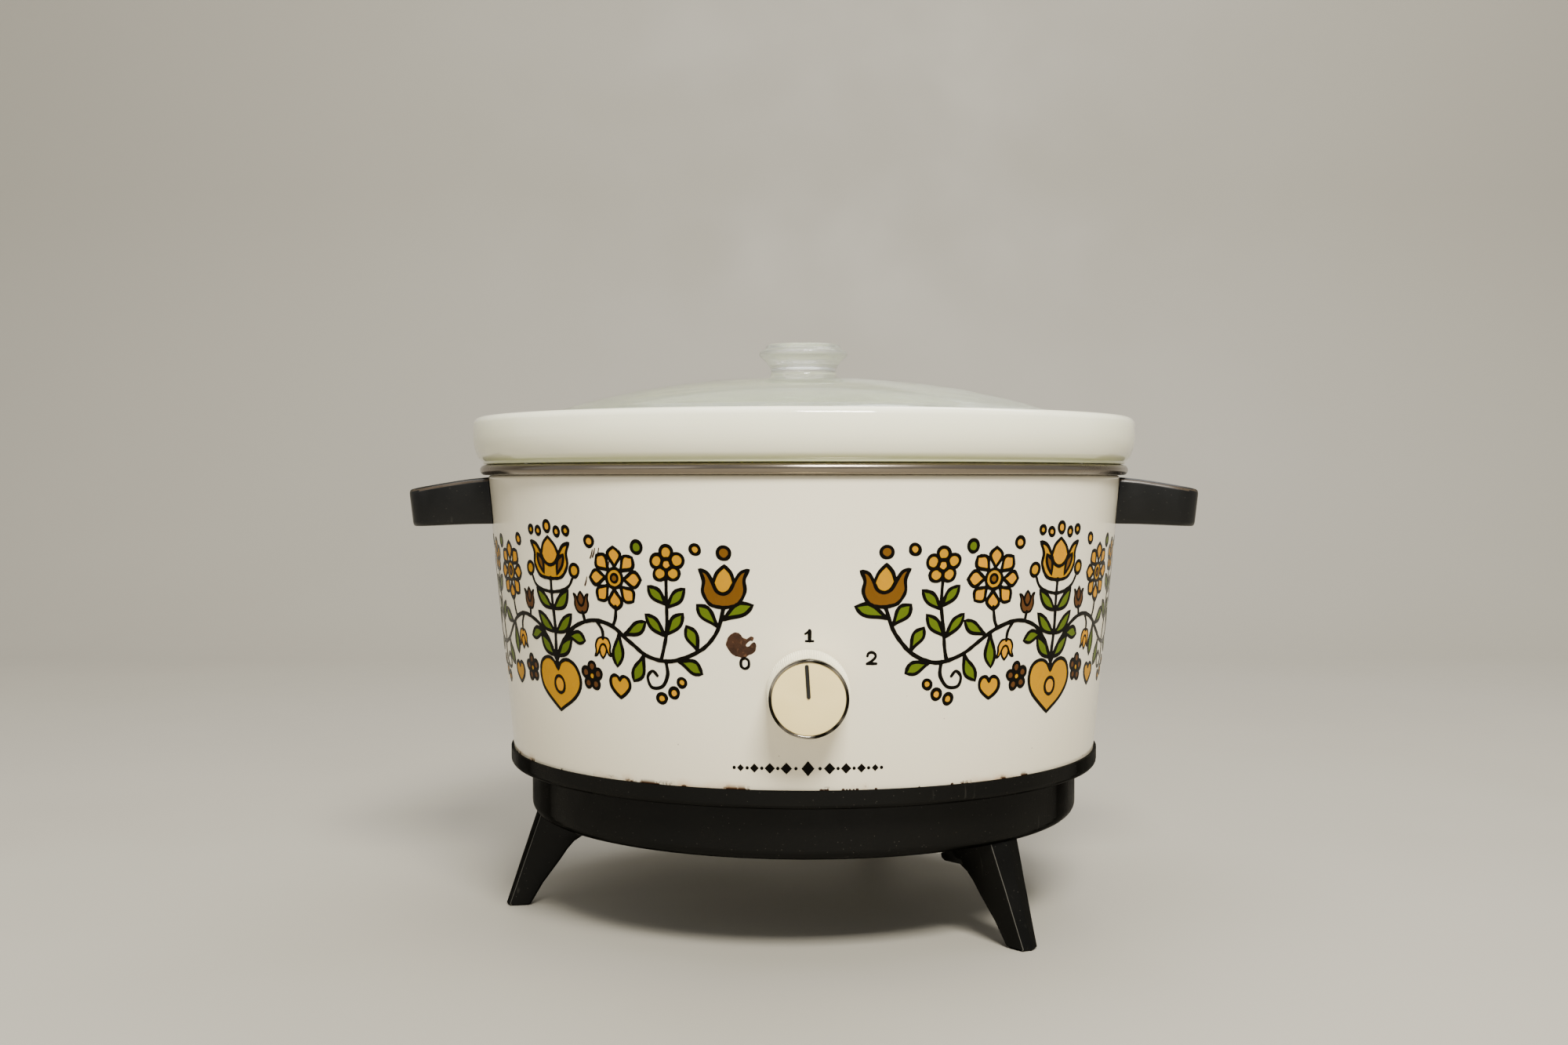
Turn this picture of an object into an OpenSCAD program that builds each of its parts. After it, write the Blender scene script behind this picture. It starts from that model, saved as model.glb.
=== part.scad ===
// Round slow cooker on three splayed legs: a lift-out opal glass crock with a glass lid
// hangs in an aluminium heat well inside a tapered enamelled steel housing.
// Millimetres, +Z up, origin on the table under the pot's centre, control knob towards -Y.

/* [Base and legs] */
// Height of the base's flat underside above the table
base_z = 41.5; // [40:0.5:46]
// Radius of the base's side wall
base_r = 123.5; // [122.5:0.5:124.5]
// Radius over the base's lip
lip_r = 132.9; // [132.6:0.1:134]
// Height of the lip's top edge
lip_z = 71; // [70.5:0.5:72]
// Turn of the right leg from the front, towards +X
leg_turn_right = 42.4; // [36:0.2:48]
// Turn of the rear leg
leg_turn_rear = 161.4; // [155:0.2:168]
// Turn of the left leg
leg_turn_left = -79.6; // [-86:0.2:-72]
// Distance from the centre to the outside of a foot
foot_r = 135.6; // [130:0.2:138]

/* [Housing] */
// Radius of the housing at its bottom edge
shell_r_low = 131.1; // [130.8:0.1:131.3]
// Radius of the housing at its top edge
shell_r_high = 143; // [142.5:0.1:143.4]
// Height of the housing's top edge
shell_z_high = 192; // [191:0.1:193]
// Thickness of the steel
shell_t = 1; // [0.8:0.1:1.1]

/* [Crock and lid] */
// Radius over the crock's rim
rim_r = 149.2; // [148:0.1:151]
// Height of the rim's top
rim_z = 217.4; // [217:0.1:218]
// Height of the crock's underside
crock_z = 96; // [95.5:0.5:99]
// Radius of the crock's bottom corner
crock_corner = 38; // [36:1:39]
// Thickness of the crock's wall
crock_t = 6; // [5:0.5:7]
// Height of the top of the lid's dome
dome_z = 235.9; // [234:0.1:237]
// Thickness of the lid
lid_t = 4; // [3.6:0.1:4.2]
// Height of the lid's knob above the dome
lid_knob_h = 15.6; // [14:0.2:18]

/* [Handles] */
// Distance from the centre to the end of a handle
handle_end = 175.3; // [170:0.1:185]
// Width of a handle
handle_w = 76; // [70:1:84]

/* [Control] */
// Height where the knob's axis meets the housing
knob_z = 110; // [109.5:0.1:110.5]
// Radius of the knob at its front
knob_r = 14.9; // [14.5:0.1:15.5]
// Length of the knob
knob_len = 15.2; // [14.5:0.1:16]
// Turn of the pointer from straight up, anticlockwise from the front
pointer_turn = 3.7; // [-50:0.1:50]

/* [Inlet] */
// Height of the cord inlet's axis
inlet_z = 92; // [91:0.5:93]
// Distance between the inlet's two pins
pin_gap = 17.5; // [16:0.5:18]
// Radius of an inlet pin
pin_r = 2.4; // [2.3:0.1:2.5]

/* [Hidden] */
$fn = 96;

// Base
base_wall = 3;
base_fillet = 5;
ledge_z = 66;              // the housing's bottom edge stands here
lip_under = 63.5;
lip_t = 1.2;
tray_hole_r = 62;
boss_top = 52;

// Housing
shell_slope = (shell_r_high - shell_r_low) / (shell_z_high - ledge_z);
shell_tilt = atan(shell_slope);
function shell_r(z) = shell_r_low + (z - ledge_z) * shell_slope;

// Crock and heat well: walls with a draft, a round corner and a flat bottom
draft = 6;
body_r = 127;              // crock's outside just under its rim
body_z = 196;
well_gap = 1.2;            // between crock and heat well
well_t = 1;
flange_r = 141.5;          // heat well's top flange
flange_z = shell_z_high;
rim_wall = 6;              // rim's skirt
rim_deck = 8;              // rim's flat top
rim_under = 197.9;
rim_foot_z = 196.7;        // narrow foot that stands on the trim ring
lid_ledge_r = 128.5;
lid_ledge_z = 212.4;
lid_r = 127.9;
lid_seat_z = 212.7;

// Lid dome: height falls as a power of the radius
dome_drop = 13.7;
dome_at = 107;
dome_power = 2.35;
dome_end = 120;
function dome(r) = dome_z - dome_drop * pow(r / dome_at, dome_power);

// Trim ring
bead_r = 2.2;
bead_at = [144, shell_z_high + bead_r];

// Stack on the centre stud
stud_r = 2.5;
well_under = crock_z - well_gap - well_t;
shield_z = 74;
shield_t = 0.8;
shield_r = 112;
plate_t = 1.2;
plate_r = 70;

// Screws
screw_r = 1.9;
screw_hole_r = 2;
wall_hole_r = 2.2;
head_r = 3.2;
head_h = 2.2;

// Legs
flange_t = 3;
leg_flange_r = 105;
leg_flange_in = 87;
leg_flange_half = 12;      // degrees either side of the leg
leg_screw_at = 98;
leg_screw_turn = 8.8;
leg_slope = 0.335;         // how far the outside leans in per millimetre of height
leg_ridge = 1.4;           // how far the middle of the outside stands proud
leg_block_z = 31;          // underside of the block below the flange
leg_top = 42.6;            // where the outside meets the base's round corner

// Control, along the knob's axis from the housing's surface
switch_front = -2.3;
switch_back = -14.3;
switch_w = 26;
switch_h = 24;
shaft_r = 3;
knob_back = 1;
bezel_len = 2;
face_t = 0.8;

// Handles
handle_screw_y = 18;
handle_screw_z = 181;
handle_low = 170.6;
handle_tip_low = 169.5;
handle_high = 191;
handle_tip_high = 185.6;
handle_corner = 12;
handle_gap = 0.6;          // between the handle's body and the housing
handle_pad = [56, 13];     // width and height of the pad that bridges it

// Inlet
inlet_end = 152;
inlet_floor = 137.5;
pin_end = 149;
pin_inner = 120;
pin_inner_r = 2;

// Heating bands and insulation
band_t = 1;
band_clear = 0.15;
low_band = [134, 150];
high_band = [158, 178];
band_open = 12;            // degrees left open at the back
band_bolt_at = 4.5;        // bolt's distance outside the band
insulation_z = [128, 188];
insulation_open = 24;

// ---- Shared helpers ----

function arc(centre, r, from, to, n = 8) =
    [for (i = [0 : n]) let (a = from + (to - from) * i / n)
        [centre[0] + r * cos(a), centre[1] + r * sin(a)]];

// Centre of a bowl's corner, for a wall that leans out by draft and passes through top
function corner_centre(top, bottom, corner) =
    let (z = bottom + corner)
    [top[0] - (corner - (z - top[1]) * sin(draft)) / cos(draft), z];

// A bowl's side from its flat bottom up to top
function bowl(top, bottom, corner, n = 10) =
    let (c = corner_centre(top, bottom, corner))
    concat([[0, bottom]], arc(c, corner, -90, -draft, n), [top]);

function reversed(list) = [for (i = [len(list) - 1 : -1 : 0]) list[i]];

module turned(points) rotate_extrude() polygon(points);

module on_knob_axis(turn = 0)
    translate([0, -shell_r(knob_z), knob_z])
        rotate([90 + shell_tilt, 0, 0])
            rotate([0, 0, turn]) children();

module on_leg(turn) rotate([0, 0, turn - 90]) children();

// The space inside the housing's outer surface
module shell_cone()
    translate([0, 0, ledge_z])
        cylinder(h = shell_z_high - ledge_z, r1 = shell_r_low, r2 = shell_r_high);

// A round screw with a flat head under its shank, pointing up
module screw(length, r = screw_r) {
    translate([0, 0, -head_h]) cylinder(h = head_h, r = head_r);
    cylinder(h = length, r = r);
}

module hex_nut(across, height, hole) difference() {
    cylinder(h = height, r = across / sqrt(3), $fn = 6);
    translate([0, 0, -1]) cylinder(h = height + 2, r = hole);
}

module tube(height, outer, inner) difference() {
    cylinder(h = height, r = outer);
    translate([0, 0, -1]) cylinder(h = height + 2, r = inner);
}

// ---- Lid and crock ----

module glass_lid() color("lightcyan", 0.5) {
    steps = 12;
    under = [for (i = [0 : steps]) let (r = (dome_end - 1) * i / steps) [r, dome(r) - lid_t]];
    over = [for (i = [steps : -1 : 2]) let (r = dome_end * i / steps) [r, dome(r)]];
    knob_top = dome_z + lid_knob_h;
    neck = concat(
        [[15.3, dome(15.3)], [14.7, dome_z + 2.2], [14.9, dome_z + 4.2], [18.6, dome_z + 9.4]],
        arc([18.6, dome_z + 11.6], 1.6, -30, 90, 4),
        [[17.6, knob_top - 2], [16.4, knob_top], [15.2, knob_top]],
        [[12, knob_top - 2.6], [0, knob_top - 3.2]]);
    turned(concat(
        under,
        [[dome_end, lid_seat_z], [lid_r - 0.6, lid_seat_z], [lid_r, lid_seat_z + 0.6]],
        [[lid_r, lid_seat_z + 2.9], [lid_r - 0.8, lid_seat_z + 3.7]],
        over, neck));
}

module crock() color("whitesmoke") {
    inner_top = [body_r - crock_t, lid_ledge_z];
    outside = bowl([body_r, body_z], crock_z, crock_corner);
    inside = bowl(inner_top, crock_z + crock_t + 1, crock_corner - crock_t);
    rim = concat(
        [[body_r + 0.6, rim_z - rim_deck]],
        [[rim_r - rim_wall, rim_z - rim_deck], [rim_r - rim_wall, rim_foot_z]],
        [[bead_at[0] + 1, rim_foot_z], [bead_at[0] + 1, rim_under]],
        arc([rim_r - 18.8, rim_z - 8.9], 18.8, -32.8, 0, 5),
        arc([rim_r - 3.5, rim_z - 3.5], 3.5, 0, 90, 6),
        [[lid_ledge_r, rim_z], [lid_ledge_r, lid_ledge_z]]);
    turned(concat(outside, rim, reversed(inside)));
}

// ---- Housing ----

module trim_ring() color("silver") rotate_extrude() {
    translate(bead_at) circle(r = bead_r, $fn = 32);
    translate([136, flange_z + well_t]) square([bead_at[0] - 136, 0.9]);
}

module housing_shell() color("ivory") difference() {
    turned([
        [123.8, ledge_z], [shell_r_low, ledge_z], [shell_r_high, shell_z_high],
        [138.5, shell_z_high], [138.5, shell_z_high - shell_t],
        [shell_r(shell_z_high - shell_t) - shell_t, shell_z_high - shell_t],
        [shell_r(ledge_z + shell_t) - shell_t, ledge_z + shell_t], [123.8, ledge_z + shell_t]
    ]);
    on_knob_axis() translate([0, 0, -6]) cylinder(h = 12, r = 5);
    for (side = [-1, 1]) {
        for (y = [-1, 1])
            translate([side * 148, y * handle_screw_y, handle_screw_z])
                rotate([0, -side * 90, 0]) cylinder(h = 14, r = wall_hole_r);
        translate([side * 23, 120, inlet_z]) rotate([-90, 0, 0]) cylinder(h = 20, r = wall_hole_r);
    }
    translate([-13, 120, inlet_z - 6]) cube([26, 20, 12]);
}

module heat_well() color("gainsboro") {
    top = [body_r + well_gap / cos(draft), body_z];
    out = [top[0] + well_t / cos(draft), body_z];
    // the wall runs past the flange and is cut at its top
    difference() {
        turned(concat(
            bowl(out, well_under, crock_corner + well_gap + well_t),
            reversed(bowl(top, well_under + well_t, crock_corner + well_gap))));
        translate([0, 0, flange_z + well_t]) cylinder(h = 20, r = 150);
    }
    translate([0, 0, flange_z]) tube(well_t, flange_r, body_r + 1.4);
}

// Inside radius of a heating band, just clear of the well's leaning wall
function band_r(z) =
    body_r - (body_z - z) * tan(draft) + (well_gap + well_t) / cos(draft) + band_clear;

module heat_band(span) {
    half = band_open / 2;
    middle = (span[0] + span[1]) / 2;
    rotate([0, 0, 90 + half]) rotate_extrude(angle = 360 - band_open)
        polygon([
            [band_r(span[0]), span[0]], [band_r(span[0]) + band_t, span[0]],
            [band_r(span[1]) + band_t, span[1]], [band_r(span[1]), span[1]]
        ]);
    for (side = [-1, 1])
        rotate([0, 0, side * half]) difference() {
            translate([side > 0 ? -band_t : 0, band_r(middle) + 0.3, middle - 5])
                cube([band_t, 8, 10]);
            translate([-3, band_r(middle) + band_bolt_at, middle])
                rotate([0, 90, 0]) cylinder(h = 6, r = 1.7);
        }
}

module low_heat_band() color("tan") heat_band(low_band);
module high_heat_band() color("tan") heat_band(high_band);

// Bolts and nuts that draw each band's two tabs together
module at_band_bolts() for (span = [low_band, high_band]) {
    middle = (span[0] + span[1]) / 2;
    // across the tabs, whose planes lean by half the opening
    translate([0, (band_r(middle) + band_bolt_at) * cos(band_open / 2), middle])
        rotate([0, 90, 0]) children();
}

module band_bolts() color("silver") at_band_bolts() {
    translate([0, 0, -17]) cylinder(h = 2, r = 2.6);
    translate([0, 0, -15.1]) cylinder(h = 34.1, r = 1.5);
}

module band_nuts() color("silver") at_band_bolts()
    translate([0, 0, 15]) hex_nut(5.5, 2.4, 1.55);

module insulation_wrap() color("khaki") {
    z0 = insulation_z[0];
    z1 = insulation_z[1];
    gap = 7.2;
    rotate([0, 0, 90 + insulation_open / 2]) rotate_extrude(angle = 360 - insulation_open)
        polygon([
            [band_r(z0) + 1.8, z0], [shell_r(z0) - gap, z0],
            [shell_r(z1) - gap, z1], [band_r(z1) + 1.8, z1]
        ]);
}

// ---- Centre stack ----

module heat_shield() color("silver") translate([0, 0, shield_z]) tube(shield_t, shield_r, stud_r + 0.3);

module centre_stud() color("silver") {
    translate([0, 0, base_z - 8]) cylinder(h = well_under - base_z + 8, r = stud_r);
}

module upper_spacer() color("silver")
    translate([0, 0, shield_z + shield_t]) tube(well_under - shield_z - shield_t, 5, stud_r + 0.2);

module lower_spacer() color("silver")
    translate([0, 0, base_z]) tube(shield_z - base_z, 5, stud_r + 0.2);

module bottom_plate() color("silver") difference() {
    translate([0, 0, base_z - plate_t]) tube(plate_t, plate_r, stud_r + 0.2);
    for (i = [0 : 7]) rotate([0, 0, i * 45]) translate([42, 0, base_z - 3]) cylinder(h = 6, r = 3);
}

module centre_washer() color("silver")
    translate([0, 0, base_z - plate_t - 0.8]) tube(0.8, 6, stud_r + 0.2);

module centre_nut() color("silver")
    translate([0, 0, base_z - plate_t - 4.8]) hex_nut(8, 4, stud_r + 0.1);

// ---- Base and legs ----

leg_turns = [leg_turn_right, leg_turn_rear, leg_turn_left];

module at_leg_screws(turn) for (side = [-1, 1])
    on_leg(turn + side * leg_screw_turn) translate([leg_screw_at, 0, 0]) children();

// The base's round lower corner, from its underside to its side wall
base_corner = arc([base_r - base_fillet, base_z + base_fillet], base_fillet, -90, 0);

module base_tray() color("#1a1a1a") difference() {
    union() {
        turned(concat(
            [[tray_hole_r, base_z]],
            base_corner,
            [[base_r, lip_under - 1], [base_r + 1, lip_under]],
            arc([lip_r - 2.5, lip_under + 2.5], 2.5, -90, 0, 5),
            [[lip_r, lip_z], [lip_r - lip_t, lip_z], [lip_r - lip_t, ledge_z]],
            [[base_r - base_wall, ledge_z], [base_r - base_wall, base_z + base_wall]],
            [[tray_hole_r, base_z + base_wall]]));
        for (turn = leg_turns) at_leg_screws(turn)
            translate([0, 0, base_z + 1]) cylinder(h = boss_top - base_z - 1, r = 4.5);
    }
    for (turn = leg_turns) {
        at_leg_screws(turn) translate([0, 0, base_z - 1]) cylinder(h = 20, r = screw_hole_r);
        // vent slots half-way between the legs
        for (step = [-2 : 2]) on_leg(turn + 60 + step * 7)
            translate([84, -2, base_z - 1]) cube([18, 4, base_wall + 2]);
    }
}

// One leg section: inner face, two sides and an outer face with a ridge down its middle
function leg_section(z, inner, outer, half, ridge) = [
    [inner, -half, z], [outer, -half, z], [outer + ridge, 0, z], [outer, half, z], [inner, half, z]
];

module leg_loft(sections) {
    n = len(sections[0]);
    last = len(sections) - 1;
    polyhedron(
        points = [for (s = sections) each s],
        faces = concat(
            [[for (i = [0 : n - 1]) i]],
            [for (k = [0 : last - 1]) for (i = [0 : n - 1]) let (a = k * n + i, b = k * n + (i + 1) % n)
                each [[a, a + n, b], [b, a + n, b + n]]],
            [[for (i = [n - 1 : -1 : 0]) last * n + i]]));
}

// The leg's outside at a height: it leans in towards the base
function leg_out(z) = foot_r - leg_ridge - z * leg_slope;

module leg(turn) color("#1a1a1a") difference() {
    on_leg(turn) {
        leg_loft([
            leg_section(0, foot_r - 10.6, leg_out(0), 4.5, leg_ridge),
            leg_section(10, foot_r - 16.4, leg_out(10), 5.4, leg_ridge),
            leg_section(20, foot_r - 23.8, leg_out(20), 6.3, leg_ridge),
            leg_section(leg_block_z - 3, foot_r - 29.6, leg_out(leg_block_z - 3), 7.1, leg_ridge),
            leg_section(leg_block_z, foot_r - 34, leg_out(leg_block_z), 7.4, leg_ridge),
            leg_section(leg_top, foot_r - 44, leg_out(leg_top), 8.5, leg_ridge)
        ]);
        translate([leg_flange_in + 4, -7.4, leg_block_z])
            cube([foot_r - 32 - leg_flange_in, 14.8, base_z - leg_block_z]);
        translate([0, 0, base_z - flange_t]) rotate([0, 0, -leg_flange_half])
            rotate_extrude(angle = 2 * leg_flange_half)
                translate([leg_flange_in, 0]) square([leg_flange_r - leg_flange_in, flange_t]);
    }
    turned(concat([[0, base_z]], base_corner, [[base_r, base_z + 20], [0, base_z + 20]]));
    at_leg_screws(turn) translate([0, 0, -1]) cylinder(h = base_z + 5, r = screw_hole_r);
}

module leg_right() leg(leg_turns[0]);
module leg_rear() leg(leg_turns[1]);
module leg_left() leg(leg_turns[2]);

module leg_screws() color("silver")
    for (turn = leg_turns) at_leg_screws(turn) translate([0, 0, base_z - flange_t]) screw(11.5);

// ---- Handles ----

// The handle seen from the side: a round lower tip and a gently arched top
handle_side = concat(
    [[110, handle_low], [145, handle_low], [handle_end - 4.2, handle_tip_low]],
    arc([handle_end - 4.6, handle_tip_low + 2.8], 2.8, -75, -9, 5),
    [[handle_end, handle_tip_high - 1.6]],
    arc([handle_end - 1.5, handle_tip_high - 1.5], 1.5, 0, 72, 4),
    [[handle_end - 9, handle_tip_high + 1.6], [handle_end - 17, handle_tip_high + 3.0]],
    [[handle_end - 25, handle_tip_high + 4.3], [142, handle_high], [110, handle_high]]);

module handle(side) color("#1a1a1a") mirror([side > 0 ? 0 : 1, 0, 0]) difference() {
    union() {
        difference() {
            intersection() {
                translate([0, handle_w / 2, 0]) rotate([90, 0, 0])
                    linear_extrude(handle_w) polygon(handle_side);
                translate([0, 0, handle_tip_low - 5]) linear_extrude(40) {
                    translate([110, -handle_w / 2])
                        square([handle_end - 110 - handle_corner, handle_w]);
                    translate([110, -handle_w / 2 + handle_corner])
                        square([handle_end - 110, handle_w - 2 * handle_corner]);
                    for (y = [-1, 1])
                        translate([handle_end - handle_corner, y * (handle_w / 2 - handle_corner)])
                            circle(r = handle_corner);
                }
            }
            shell_cone_extended(handle_gap);
        }
        translate([125, -handle_pad[0] / 2, handle_screw_z - handle_pad[1] / 2])
            cube([24, handle_pad[0], handle_pad[1]]);
    }
    shell_cone_extended();
    for (y = [-1, 1]) translate([120, y * handle_screw_y, handle_screw_z])
        rotate([0, 90, 0]) cylinder(h = 34, r = screw_hole_r);
}

// The housing's outer surface carried on above and below, for cutting what sits against it
module shell_cone_extended(gap = 0) {
    extra = 20;
    translate([0, 0, ledge_z - extra])
        cylinder(h = shell_z_high - ledge_z + 2 * extra,
                 r1 = shell_r(ledge_z - extra) + gap, r2 = shell_r(shell_z_high + extra) + gap);
}

module handle_left() handle(-1);
module handle_right() handle(1);

module handle_screws() color("silver")
    for (side = [-1, 1]) for (y = [-1, 1])
        translate([side * 138.8, y * handle_screw_y, handle_screw_z])
            rotate([0, side * 90, 0]) screw(13);

// ---- Rotary switch and knob ----

module switch_body() color("saddlebrown") on_knob_axis() difference() {
    translate([-switch_w / 2, -switch_h / 2, switch_back])
        cube([switch_w, switch_h, switch_front - switch_back]);
    translate([0, 0, switch_back + 2]) cylinder(h = 7.3, r = 9.5);
    translate([0, 0, switch_back + 2]) cylinder(h = 20, r = shaft_r + 0.2);
}

module switch_bushing() color("goldenrod") on_knob_axis()
    translate([0, 0, switch_front]) tube(6.3, 4.7, shaft_r + 0.06);

module switch_washer() color("silver") on_knob_axis()
    translate([0, 0, 0.1]) tube(0.6, 7, 4.8);

module switch_nut() color("silver") on_knob_axis()
    translate([0, 0, 0.75]) hex_nut(12, 2.5, 4.75);

module switch_terminals() color("gold") on_knob_axis()
    for (x = [-8, 0, 8]) translate([x - 2.5, -switch_h / 2 - 8, -8.4]) cube([5, 8, 0.8]);

module switch_rotor() color("dimgray") on_knob_axis()
    translate([0, 0, switch_back + 2.4]) tube(6.4, 9, shaft_r);

module switch_shaft() color("silver") on_knob_axis(pointer_turn) difference() {
    translate([0, 0, switch_back + 2.4]) cylinder(h = 12.4 - switch_back - 2.4, r = shaft_r);
    translate([-5, shaft_r - 1.4, 5.8]) cube([10, 5, 10]);
}

module control_knob() color("cornsilk") on_knob_axis() difference() {
    translate([0, 0, knob_back]) cylinder(h = knob_len, r1 = knob_r + 1, r2 = knob_r);
    translate([0, 0, knob_back - 1]) cylinder(h = 5.5, r = 9.5);
    translate([0, 0, knob_back]) cylinder(h = 12, r = shaft_r + 0.05);
    // seat for the face and the step that the bezel slips over
    translate([0, 0, knob_back + knob_len - face_t - 0.3]) cylinder(h = 5, r = knob_r - 0.8);
    translate([0, 0, knob_back + knob_len - bezel_len])
        difference() {
            cylinder(h = 5, r = knob_r + 3);
            translate([0, 0, -1]) cylinder(h = 7, r = knob_r - 0.45);
        }
}

module knob_bezel() color("silver") on_knob_axis()
    translate([0, 0, knob_back + knob_len - bezel_len])
        tube(bezel_len + 0.25, knob_r + 0.15, knob_r - 0.4);

module pointer_bar(extra, height) translate([-0.65 - extra, 0, 0]) {
    cube([1.3 + 2 * extra, 13 + extra, height]);
}

module knob_face() color("moccasin") on_knob_axis(pointer_turn)
    translate([0, 0, knob_back + knob_len - face_t - 0.25]) difference() {
        cylinder(h = face_t, r = knob_r - 0.85);
        translate([0, 0, 0.4]) pointer_bar(0.02, 2);
    }

module knob_pointer() color("black") on_knob_axis(pointer_turn)
    translate([0, 0, knob_back + knob_len - face_t + 0.16]) pointer_bar(0, 0.55);

module knob_clip() color("silver") on_knob_axis(pointer_turn)
    translate([-2, shaft_r - 1.3, 6.2]) cube([4, 0.4, 5.8]);

// ---- Thermostat under the heat well ----

module thermostat_disc() color("sienna")
    translate([45, 0, well_under - 8]) cylinder(h = 8, r = 8.5);

module thermostat_strap() color("silver") {
    translate([28, -4, well_under - 9]) cube([34, 8, 1]);
    for (x = [28, 59.5]) translate([x, -4, well_under - 8.5]) cube([2.5, 8, 8.5]);
}

// ---- Cord inlet ----

module inlet_shroud() color("#1a1a1a") difference() {
    union() {
        translate([-19, 118, inlet_z - 10]) cube([38, inlet_end - 118, 20]);
        translate([-27, 118, inlet_z - 6]) cube([54, inlet_floor - 118, 12]);
    }
    shell_cone_extended();
    translate([-15.5, inlet_floor, inlet_z - 7]) cube([31, 20, 14]);
    for (side = [-1, 1]) {
        translate([side * pin_gap / 2, 110, inlet_z])
            rotate([-90, 0, 0]) cylinder(h = 40, r = pin_inner_r + 0.05);
        translate([side * 23, 110, inlet_z])
            rotate([-90, 0, 0]) cylinder(h = 40, r = screw_hole_r);
    }
}

module inlet_pins() color("silver") for (side = [-1, 1])
    translate([side * pin_gap / 2, 0, inlet_z]) rotate([-90, 0, 0]) {
        translate([0, 0, pin_inner]) cylinder(h = inlet_floor - pin_inner, r = pin_inner_r);
        translate([0, 0, inlet_floor]) cylinder(h = pin_end - inlet_floor, r = pin_r);
    }

module inlet_screws() color("silver") for (side = [-1, 1])
    translate([side * 23, inlet_floor, inlet_z]) rotate([90, 0, 0]) screw(14);

module inlet_nuts() color("silver") for (side = [-1, 1])
    translate([side * 23, 129.4, inlet_z]) rotate([90, 0, 0]) hex_nut(6.5, 2.6, screw_hole_r);

// ---- Insulated leads inside the housing ----

wire_r = 1.2;
wire_sides = 8;

function unit(v) = v / norm(v);

// Four points' Catmull-Rom curve at t
function blend(p, t) = 0.5 * (2 * p[1] + (p[2] - p[0]) * t
    + (2 * p[0] - 5 * p[1] + 4 * p[2] - p[3]) * t * t
    + (3 * p[1] - p[0] - 3 * p[2] + p[3]) * t * t * t);

function route(points, steps = 4) =
    let (last = len(points) - 1)
    concat(
        [for (i = [0 : last - 1]) for (s = [0 : steps - 1])
            blend([points[max(i - 1, 0)], points[i], points[i + 1], points[min(i + 2, last)]],
                  s / steps)],
        [points[last]]);

// Side direction that stays level, unless the wire itself is vertical
function across(d) = norm([d[0], d[1]]) < 0.05 ? [1, 0, 0] : unit(cross(d, [0, 0, 1]));

function ring_at(path, i) =
    let (
        last = len(path) - 1,
        d = unit(path[min(i + 1, last)] - path[max(i - 1, 0)]),
        side = across(d),
        up = cross(side, d))
    [for (k = [0 : wire_sides - 1]) let (a = 360 * k / wire_sides)
        path[i] + wire_r * (cos(a) * side + sin(a) * up)];

module wire(points) {
    path = route(points);
    last = len(path) - 1;
    n = wire_sides;
    polyhedron(
        points = [for (i = [0 : last]) each ring_at(path, i)],
        faces = concat(
            [[for (k = [0 : n - 1]) k]],
            [for (i = [0 : last - 1]) for (k = [0 : n - 1])
                let (a = i * n + k, b = i * n + (k + 1) % n)
                each [[a, a + n, b], [b, a + n, b + n]]],
            [[for (k = [n - 1 : -1 : 0]) last * n + k]]));
}

// A point on a circle about the pot's axis, by its turn from the front towards +X
function at(turn, r, z) = [r * sin(turn), -r * cos(turn), z];

terminal_z = knob_z - (switch_h / 2 + 8) * cos(shell_tilt) + 8 * sin(shell_tilt) - wire_r - 0.2;
terminal_y = -(shell_r(knob_z) - 8 - (switch_h / 2 + 8) * sin(shell_tilt));
pin_x = pin_gap / 2;

// From the inlet's +X pin round the left to the switch's common terminal
module lead_live() color("black") wire(concat(
    [[pin_x, pin_inner - 0.2, inlet_z], [pin_x, pin_inner - 3, inlet_z]],
    [[pin_x - 2, 113.5, 87.5], [0, 112.5, 83], at(-170, 113, 82)],
    [for (turn = [-150 : 15 : -30]) at(turn, 118, 82)],
    [at(-15, 120, 83), [-10, terminal_y, terminal_z - 5], [-8, terminal_y, terminal_z]]));

// From the inlet's -X pin up to both bands' common tabs
module lead_neutral() color("white") wire([
    [-pin_x, pin_inner - 0.2, inlet_z], [-pin_x, pin_inner - 3, inlet_z + 0.4],
    [-10, 116, 97], [-12, 120, 106], [-17, 124, 118],
    [-19.3, 126.5, 130], [-19.4, 129, 146], [-19.4, 131, 160], [-19.4, 132, 168],
    [-18, 132.2, 172], [-15.3, 132, 172.2]
]);

// From the switch round the right to the lower band
module lead_low() color("firebrick") wire(concat(
    [[0, terminal_y, terminal_z], [1, terminal_y + 3, terminal_z - 6]],
    [at(15, 118, 81)],
    [for (turn = [30 : 15 : 150]) at(turn, 119, 81)],
    [at(160, 119, 86), at(165, 120.5, 96), at(170, 123.5, 108), [19.3, 125, 120]],
    [[20.8, 127.5, 132], [20.6, 130.5, 140], [18.5, 131, 145], [15.2, 130.3, 146.3]]));

// From the switch round the right, outside the other lead, to the upper band
module lead_high() color("orange") wire(concat(
    [[8, terminal_y, terminal_z], [10, terminal_y + 1, terminal_z - 5]],
    [at(15, 124, 85)],
    [for (turn = [30 : 15 : 150]) at(turn, 124, 85)],
    [at(162, 125, 90), at(170, 127.5, 102), [23, 127.5, 112], [23.4, 129.5, 124]],
    [[23.4, 131.5, 138], [22.6, 133, 152], [20.5, 134, 162], [17.5, 134, 170], [15.3, 133, 171.8]]));

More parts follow.
